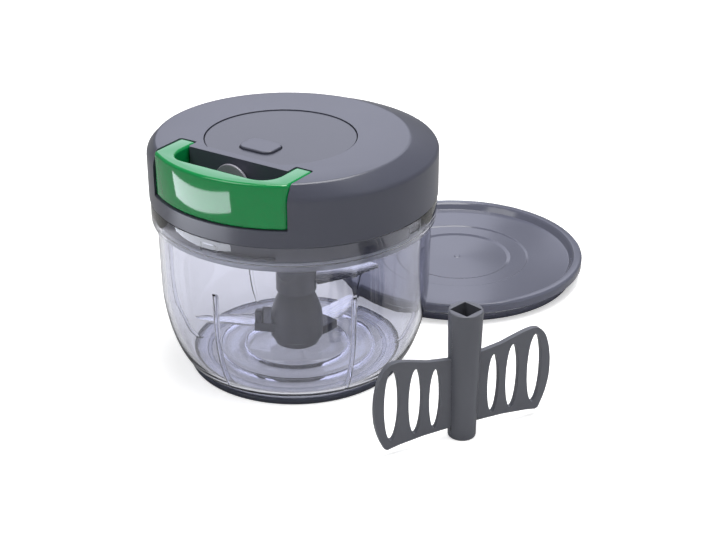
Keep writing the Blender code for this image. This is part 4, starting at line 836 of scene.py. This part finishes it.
grip = slab(handle_outline(), handle_low.z, handle_high.z)
rims = [edge for edge in grip.edges if abs(edge.verts[0].co.z - edge.verts[1].co.z) < WELD]
eased(grip, rims, 1.3 * MM, 5, clamp=False)
relief = box((-HANDLE_HALF - MM, -ARM_ROOT_Y, SEAM_Z), (HANDLE_HALF + MM, 0, TOP_Z - ARM_DEPTH))
pocket = rod(3.6 * MM, SEAM_Z, CORD_Z + 3 * MM, 0, -KNOT_Y)
handle_frame = Matrix.Translation((0, -HANDLE_FACE_Y, CORD_Z)) @ Matrix.Rotation(math.pi / 2, 4, "X")
bore = moved(rod(1.55 * MM, -2 * MM, 4.2 * MM), handle_frame)
handle = cut(grip, relief, pocket, bore)
piece("green_handle", handle, HANDLE_ABS, "handle", ["pull_handle"], angle=30)

# %% Guide and nozzle
BELL_RADIUS = 9 * MM
BELL_REACH = 5 * MM
guide_profile = [
    (3.1 * MM, BELL_REACH - 1.2 * MM),
    (3.7 * MM, BELL_REACH, 0.3 * MM),
    (BELL_RADIUS, BELL_REACH, 0.5 * MM),
    (BELL_RADIUS, BELL_REACH - 1.2 * MM, 0.5 * MM),
    (6.2 * MM, BELL_REACH - 1.6 * MM, 1 * MM),
    (4.6 * MM, 1.5 * MM, 1 * MM),
    (5.8 * MM, GAP),
    (4.3 * MM, GAP),
    (4.3 * MM, -LID_WALL),
    (3.1 * MM, -LID_WALL),
]
guide = moved(turned(rounded(guide_profile, closed=True), FINE_STEPS, closed=True), guide_frame)
# The guide's paler grey is painted light, not a colour of its own.
piece("bell_guide", guide, GUIDE_GREY_PAINTED_LIT, "lid", ["cord_guide"])
nozzle_profile = [
    (1.9 * MM, BELL_REACH + 2.2 * MM, 0.3 * MM),
    (2.3 * MM, BELL_REACH + 2.2 * MM, 0.3 * MM),
    (2.8 * MM, BELL_REACH + 1.6 * MM, 0.3 * MM),
    (2.8 * MM, -1.8 * MM),
    (1.9 * MM, -1.8 * MM),
]
nozzle = moved(turned(rounded(nozzle_profile, closed=True), FINE_STEPS, closed=True), guide_frame)
piece("pale_nozzle", nozzle, ACETAL, "lid", ["guide_nozzle"])

# %% Cord from the winding to the knot
# It runs from the winding through the guide to the knot, and rides on no body.
WOUND_RADIUS = 21.75 * MM
inside_y = NOTCH_BACK_Y - LID_WALL
leaves = math.asin(WOUND_RADIUS / inside_y)
lead_points = [
    Vector((WOUND_RADIUS * math.cos(leaves), -WOUND_RADIUS * math.sin(leaves), CORD_Z)),
    Vector((0, -inside_y, CORD_Z)),
    Vector((0, -NOTCH_BACK_Y, CORD_Z)),
    Vector((0, -KNOT_Y + 3 * MM, CORD_Z)),
]
lead = strand(lead_points, 1.25 * MM)
cord = piece("pull_cord", lead, CORD, None, ["cord_lead"], angle=60)
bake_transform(cord)

# %% [markdown]
# ## Blade rotor
# A post of grey plastic carries three curved steel blades. Two thick blocks clamp the lower blades, each
# with a stub that stands up from it. The blades are stamped strip with one edge ground to a bevel.

# %% Post
POST_TOP_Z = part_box("blade_post")[1].z
POST_BOTTOM_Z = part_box("blade_post")[0].z
TUBE_RADIUS = 9.6 * MM
TUBE_BOTTOM_Z = 34.5 * MM
POST_WAIST = 7.8 * MM
POST_BELLY = 12.4 * MM
POST_BELLY_Z = 19 * MM
flare = []
for i in range(17):
    share = i / 16
    radius = POST_WAIST + (POST_BELLY - POST_WAIST) * math.sin(math.pi / 2 * share)
    flare.append((radius, TUBE_BOTTOM_Z + (POST_BELLY_Z - TUBE_BOTTOM_Z) * share))
post_profile = [
    (0, POST_TOP_Z),
    (TUBE_RADIUS, POST_TOP_Z, 0.4 * MM),
    (TUBE_RADIUS, TUBE_BOTTOM_Z, 0.5 * MM),
    *flare,
    (POST_BELLY, 10 * MM),
    (10.8 * MM, 9 * MM),
    (10.8 * MM, POST_BOTTOM_Z, 0.4 * MM),
    (0, POST_BOTTOM_Z),
]
post = turned(rounded(post_profile), 96)

# %% Clamps, slots and blades
BLADE_THICKNESS = 1.1 * MM
ROOT_RADIUS = 8.5 * MM
ROOT_CHORD = 15 * MM
TIP_CHORD = 5.6 * MM
SWEEP = 6 * MM
CLAMP_HALF = 9 * MM
BLADES = [
    ("blade_upper", 39.5 * MM, 42 * MM, 0, 49),
    ("blade_left", 16.5 * MM, 50 * MM, 19 * MM, 203),
    ("blade_rear", 11 * MM, 48 * MM, 19 * MM, 81),
]


def blade_outline(tip, root, steps=20):
    back = ROOT_CHORD / 2
    edge = []
    for i in range(steps + 1):
        share = i / steps
        chord = ROOT_CHORD + (TIP_CHORD - ROOT_CHORD) * share
        edge.append((root + (tip - root) * share, back - chord - SWEEP * share * (1 - share)))
    return edge + [(tip - TIP_CHORD / 2, back), (root, back)], steps + 1


parts, slots = [], []
for name, level, tip, reach, direction in BLADES:
    if reach:
        low, high = level - 2.3 * MM, level + 2.3 * MM
        clamp = box((4 * MM, -CLAMP_HALF, low), (reach, CLAMP_HALF, high))
        parts.append(moved(eased(clamp, clamp.edges, 0.5 * MM, 2), turn_z(direction)))
        stub_low = (reach - 4 * MM, CLAMP_HALF - 4 * MM, low + GAP)
        stub = box(stub_low, (reach - GAP, CLAMP_HALF - GAP, high + 6 * MM))
        parts.append(moved(eased(stub, stub.edges, 0.6 * MM, 2), turn_z(direction)))
    outline, _ = blade_outline(tip, ROOT_RADIUS - GAP)
    grown = [(x, y + (GAP if y > 0 else -GAP)) for x, y in outline]
    half = BLADE_THICKNESS / 2 + GAP
    slots.append(moved(slab(grown, level - half, level + half), turn_z(direction)))
SOCKET_HALF = 4.8 * MM
socket_low = (-SOCKET_HALF, -SOCKET_HALF, POST_TOP_Z - 16.5 * MM)
socket = box(socket_low, (SOCKET_HALF, SOCKET_HALF, POST_TOP_Z + MARGIN))
foot_bore = rod(6.6 * MM, -MM, BOSS_TOP_Z + 0.6 * MM)
bush_bore = rod(4.8 * MM, 0, BOSS_TOP_Z + 6.9 * MM)
pin_bore = rod(2.3 * MM, 0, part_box("bowl_pin")[1].z + GAP)
post_mesh = cut(joined(post, *parts), socket, foot_bore, bush_bore, pin_bore, *slots)
piece("rotor_post", post_mesh, INNER_PP, "rotor", ["blade_post"])

GRIND = 2.6 * MM
for name, level, tip, reach, direction in BLADES:
    outline, edge_count = blade_outline(tip, ROOT_RADIUS)
    blade = slab(outline, level - BLADE_THICKNESS / 2, level + BLADE_THICKNESS / 2)
    edge_points = {(round(x, 7), round(y, 7)) for x, y in outline[:edge_count]}
    for vert in blade.verts:
        if vert.co.z > level and (round(vert.co.x, 7), round(vert.co.y, 7)) in edge_points:
            vert.co.y += GRIND
    steel = ground_steel(f"ground_steel_{name}", "F0F0EF", 0.24, 0.5 * MM, 20 * MM, 0.001 * MM, direction)
    blade = moved(blade, turn_z(direction))
    piece(f"{name}_steel", blade, steel, "rotor", [name], bevel=0.12 * MM, segments=2)

# %% [markdown]
# ## Storage lid
# The lid that closes the bowl for the fridge lies flat on the table. Its rim is a rolled bead, and its
# plate steps down twice towards a smooth middle.

# %% Storage lid and its seal
storage_low, storage_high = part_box("storage_lid")
storage_middle = (storage_low + storage_high) / 2
STORAGE_PLACE = Matrix.Translation((storage_middle.x, storage_middle.y, 0))
STORAGE_RADIUS = (storage_high.x - storage_low.x) / 2
STORAGE_TOP = storage_high.z
plate_top = STORAGE_TOP - 3.5 * MM
plate_low = plate_top - 1.8 * MM
rim_low = STORAGE_TOP - 4.8 * MM
rim_inner = STORAGE_RADIUS - 5 * MM
plug = STORAGE_RADIUS - 4.1 * MM
groove = plug - 0.9 * MM
seal_bottom = rim_low - 2.6 * MM
storage_profile = [
    (0, plate_top - 0.8 * MM),
    (1.4 * MM, plate_top - 0.8 * MM, 0.2 * MM),
    (1.8 * MM, plate_top - 1 * MM, 0.2 * MM),
    (26.7 * MM, plate_top - 1 * MM, 1 * MM),
    (28.5 * MM, plate_top - 0.5 * MM, 0.6 * MM),
    (37 * MM, plate_top - 0.5 * MM, 0.5 * MM),
    (38 * MM, plate_top, 0.6 * MM),
    (rim_inner - 1.7 * MM, plate_top, 0.8 * MM),
    (rim_inner, STORAGE_TOP - 0.9 * MM, 0.8 * MM),
    (rim_inner + 0.9 * MM, STORAGE_TOP, 0.6 * MM),
    (STORAGE_RADIUS - 0.9 * MM, STORAGE_TOP, 0.6 * MM),
    (STORAGE_RADIUS, STORAGE_TOP - 0.9 * MM, 0.6 * MM),
    (STORAGE_RADIUS, rim_low, 0.5 * MM),
    (STORAGE_RADIUS - 1.8 * MM, rim_low, 0.4 * MM),
    (STORAGE_RADIUS - 1.8 * MM, rim_low + 0.9 * MM, 0.2 * MM),
    (groove, rim_low + 0.9 * MM),
    (groove, seal_bottom),
    (plug, seal_bottom, 0.3 * MM),
    (plug - 0.9 * MM, 0, 0.4 * MM),
    (plug - 2.7 * MM, 0, 0.4 * MM),
    (plug - 2.7 * MM, plate_low, 0.6 * MM),
    (28.5 * MM, plate_low - 1 * MM, 0.4 * MM),
    (0, plate_low - 1 * MM),
]
storage = moved(turned(rounded(storage_profile)), STORAGE_PLACE)
piece("storage_cover", storage, STORAGE_PP, "spare_lid", ["storage_lid"])
ring_low, ring_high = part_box("storage_seal")
ring_outer = (ring_high.x - ring_low.x) / 2
ring_profile = [
    (groove + GAP, ring_high.z),
    (ring_outer, ring_high.z, 0.5 * MM),
    (ring_outer, ring_low.z, 0.8 * MM),
    (groove + GAP, ring_low.z),
]
ring = moved(turned(rounded(ring_profile, closed=True), closed=True), STORAGE_PLACE)
piece("storage_ring", ring, SILICONE, "spare_lid", ["storage_seal"])

# %% [markdown]
# ## Mixing paddle
# The paddle swaps places with the blades. It has a tapered tube with a square socket and two wings with
# oval slots. The wings are thin plates, so they are outlines with holes cut, extruded and softened.

# %% Paddle
PADDLE_X, PADDLE_Y, PADDLE_TURN = 104.3 * MM, -22.6 * MM, 60
PADDLE_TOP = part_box("mixing_paddle")[1].z
PADDLE_PLACE = Matrix.Translation((PADDLE_X, PADDLE_Y, 0)) @ turn_z(PADDLE_TURN)
WING_HALF = 1.2 * MM
WING_CURVE = [
    (39 * MM, 3.9 * MM),
    (41.7 * MM, 10 * MM),
    (43.6 * MM, 17.5 * MM),
    (44 * MM, 25.5 * MM),
    (43.2 * MM, 33 * MM),
    (41.2 * MM, 39.8 * MM),
    (38.2 * MM, 43.8 * MM),
    (34.6 * MM, 45.1 * MM),
    (29 * MM, 44.4 * MM),
    (18 * MM, 41.4 * MM),
]
WING_SLOTS = [
    (14.6 * MM, 22.5 * MM, 2.9 * MM, 14.7 * MM),
    (24.3 * MM, 23.7 * MM, 3.3 * MM, 16 * MM),
    (35.8 * MM, 24.7 * MM, 3.7 * MM, 17.2 * MM),
]
SOCKET_TURN = 18


def oval(x, z, half_width, half_height, steps=48):
    """An upright oval slot."""
    angles = [2 * math.pi * k / steps for k in range(steps)]
    return [(x + half_width * math.cos(a), z + half_height * math.sin(a)) for a in angles]


def through(points, steps=6):
    """A smooth curve through all the points, as a Catmull-Rom spline."""
    found = []
    for i in range(len(points) - 1):
        near = [min(max(k, 0), len(points) - 1) for k in (i - 1, i, i + 1, i + 2)]
        p0, p1, p2, p3 = [Vector(points[k]) for k in near]
        for k in range(steps):
            t = k / steps
            bend = (p2 - p0) * t + (2 * p0 - 5 * p1 + 4 * p2 - p3) * t**2
            bend += (3 * p1 - p0 - 3 * p2 + p3) * t**3
            found.append(tuple(p1 + bend / 2))
    return found + [tuple(points[-1])]


def wing(side):
    arch = [(0, 6 * MM), (20 * MM, 5.4 * MM), (32 * MM, 4.2 * MM), (37.6 * MM, 3.1 * MM)]
    outline = [(side * x, z) for x, z in arch + through(WING_CURVE) + [(0, 39 * MM)]]
    holes = [slab([(side * x, z) for x, z in oval(*slot)], -5 * MM, 5 * MM) for slot in WING_SLOTS]
    plate = cut(slab(outline, -WING_HALF, WING_HALF), *holes)
    return moved(plate, Matrix.Rotation(math.pi / 2, 4, "X"))


tube_profile = [(0, PADDLE_TOP), (7.6 * MM, PADDLE_TOP, 0.6 * MM), (6.2 * MM, 0, 0.6 * MM), (0, 0)]
tube = turned(rounded(tube_profile), FINE_STEPS)
paddle = joined(tube, wing(1), wing(-1))
socket_low = (-SOCKET_HALF, -SOCKET_HALF, PADDLE_TOP - 30 * MM)
paddle_socket = box(socket_low, (SOCKET_HALF, SOCKET_HALF, PADDLE_TOP + MARGIN))
paddle = cut(
    paddle,
    moved(paddle_socket, turn_z(SOCKET_TURN)),
    rod(2.6 * MM, -MARGIN, PADDLE_TOP - 20 * MM),
)
paddle = moved(paddle, PADDLE_PLACE)
piece(
    "grey_paddle",
    paddle,
    PADDLE_PP,
    "paddle",
    ["mixing_paddle"],
    bevel=0.4 * MM,
    segments=2,
)

# %% [markdown]
# ## The mechanism
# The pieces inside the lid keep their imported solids, which are right as they are. They only need their
# finishes.

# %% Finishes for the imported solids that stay
STAYING = {
    "bowl_pin": TURNED_STEEL,
    "spool_axle": TURNED_STEEL,
    "spool_washer": TURNED_STEEL,
    "cover_screw_1": TURNED_STEEL,
    "cover_screw_2": TURNED_STEEL,
    "cover_screw_3": TURNED_STEEL,
    "cover_screw_4": TURNED_STEEL,
    "recoil_spring": SPRING_STEEL,
    "clutch_spring": SPRING_STEEL,
    "cord_spool": ACETAL,
    "clutch_dog": ACETAL,
    "drive_bush": ACETAL,
    "post_bush": ACETAL,
    "cord_knot": CORD,
    "cord_winding": CORD,
}
for name, finish in STAYING.items():
    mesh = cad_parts[name].data
    mesh.materials.clear()
    mesh.materials.append(finish)
print(len(STAYING), "packed solids finished")

# %% [markdown]
# ## Floor, light and camera
# The photograph was taken on white paper under large soft lights. The floor is white and adds a little
# light of its own for the camera, so that it reads as white and still keeps the shadow. The camera looks
# down at 26 degrees from 33 degrees to the right of the handle.

# %% Floor and world
FLOOR_HALF = 6
WHITE = colour("FFFFFF")
floor_bm = bmesh.new()
bmesh.ops.create_grid(floor_bm, x_segments=1, y_segments=1, size=FLOOR_HALF)
floor = linked("paper_floor", floor_bm)
PAPER = bpy.data.materials.new("white_paper")
PAPER.use_nodes = True
paper = PAPER.node_tree
paper.nodes.clear()
rays = add(paper, "ShaderNodeLightPath").outputs
SEEN = 0.5
SEEN_THROUGH = 0.6
seen = add(paper, "ShaderNodeMath", {0: rays["Is Camera Ray"], 1: SEEN}, operation="MULTIPLY")
glow_parts = {0: rays["Is Transmission Ray"], 1: SEEN_THROUGH, 2: seen.outputs["Value"]}
glow = add(paper, "ShaderNodeMath", glow_parts, operation="MULTIPLY_ADD")
paper_tone = ramp(paper, rays["Is Glossy Ray"], [(0, colour("F2F2F2")), (1, colour("A8A8A8"))])
matte = add(paper, "ShaderNodeBsdfDiffuse", {"Color": paper_tone})
lit = add(paper, "ShaderNodeEmission", {"Color": WHITE, "Strength": glow.outputs["Value"]})
both = add(paper, "ShaderNodeAddShader", {0: matte.outputs["BSDF"], 1: lit.outputs["Emission"]})
add(paper, "ShaderNodeOutputMaterial", {"Surface": both.outputs["Shader"]})
floor.data.materials.append(PAPER)

world = bpy.data.worlds.new("studio")
bpy.context.scene.world = world
world.use_nodes = True
sky = world.node_tree
sky_rays = add(sky, "ShaderNodeLightPath")
background = sky.nodes["Background"]
WORLD_LIGHT = 0.24
sky_strength = ranged(sky, sky_rays.outputs["Is Camera Ray"], 0, 1, WORLD_LIGHT, 1)
background.inputs["Color"].default_value = WHITE
sky.links.new(sky_strength, background.inputs["Strength"])
print("floor and world made")


# %% Lamps
def softbox(name, place, target, width, height, power, mirror_only=False):
    """A soft lamp. One that is mirror only shows in reflections and doesn't light the floor."""
    lamp = bpy.data.lights.new(name, "AREA")
    lamp.shape = "RECTANGLE"
    lamp.size = width
    lamp.size_y = height
    lamp.energy = power
    made = bpy.data.objects.new(name, lamp)
    made.location = place
    made.rotation_euler = (Vector(target) - Vector(place)).to_track_quat("-Z", "Y").to_euler()
    made.visible_camera = False
    if mirror_only:
        lamp.color = colour("D6D8EA")[:3]
        made.visible_diffuse = False
        lamp.use_shadow = False
    bpy.context.scene.collection.objects.link(made)
    return made


MIDDLE = (0.03, 0.02, 0.05)
softbox("overhead_softbox", (0.15, 0.15, 1.1), MIDDLE, 0.9, 0.7, 14)
softbox("left_softbox", (-0.30, -0.62, 0.85), MIDDLE, 0.5, 0.6, 3)
softbox("right_softbox", (0.95, 0.1, 0.5), MIDDLE, 0.4, 0.6, 0.3)
# Two tall boxes behind the set are what the lid's top and the storage lid's plate mirror.
softbox("back_left_softbox", (-0.75, 0.99, 0.72), (0, 0.05, 0.10), 0.62, 0.70, 2.4, mirror_only=True)
softbox("back_right_softbox", (-0.33, 1.26, 0.86), (0.02, 0.12, 0.01), 0.36, 0.50, 1.1, mirror_only=True)

# A glowing card lies low in front on the left. Only mirrors see it. It is the pale window in the handle.
CARD_CORNERS = [(-0.217, -0.129), (-0.341, -0.166), (-0.074, -0.386), (-0.039, -0.250)]
CARD_Z = 2 * MM
CARD_GLOW = 6
card_bm = bmesh.new()
card_bm.faces.new([card_bm.verts.new((x, y, CARD_Z)) for x, y in CARD_CORNERS])
card = linked("low_card", card_bm)
for rays_hidden in ("camera", "diffuse", "transmission", "shadow"):
    setattr(card, f"visible_{rays_hidden}", False)
GLOW = bpy.data.materials.new("card_glow")
GLOW.use_nodes = True
GLOW.node_tree.nodes.clear()
bright = add(GLOW.node_tree, "ShaderNodeEmission", {"Color": colour("F2F6FF"), "Strength": CARD_GLOW})
add(GLOW.node_tree, "ShaderNodeOutputMaterial", {"Surface": bright.outputs["Emission"]})
card.data.materials.append(GLOW)
print("lamps made")

# %% Camera
VIEW_AZIMUTH, VIEW_DOWN = math.radians(33), math.radians(26.05)
camera = bpy.data.cameras.new("camera")
camera.sensor_width = 36
camera.lens = 75.42
camera.clip_start = 0.01
shot = bpy.data.objects.new("camera", camera)
shot.location = (0.3728, -0.5200, 0.3559)
level = math.cos(VIEW_DOWN)
look = Vector((-math.sin(VIEW_AZIMUTH) * level, math.cos(VIEW_AZIMUTH) * level, -math.sin(VIEW_DOWN)))
shot.rotation_euler = look.to_track_quat("-Z", "Y").to_euler()
bpy.context.scene.collection.objects.link(shot)
bpy.context.scene.camera = shot
bpy.context.scene.view_settings.view_transform = "Standard"
print("camera placed")
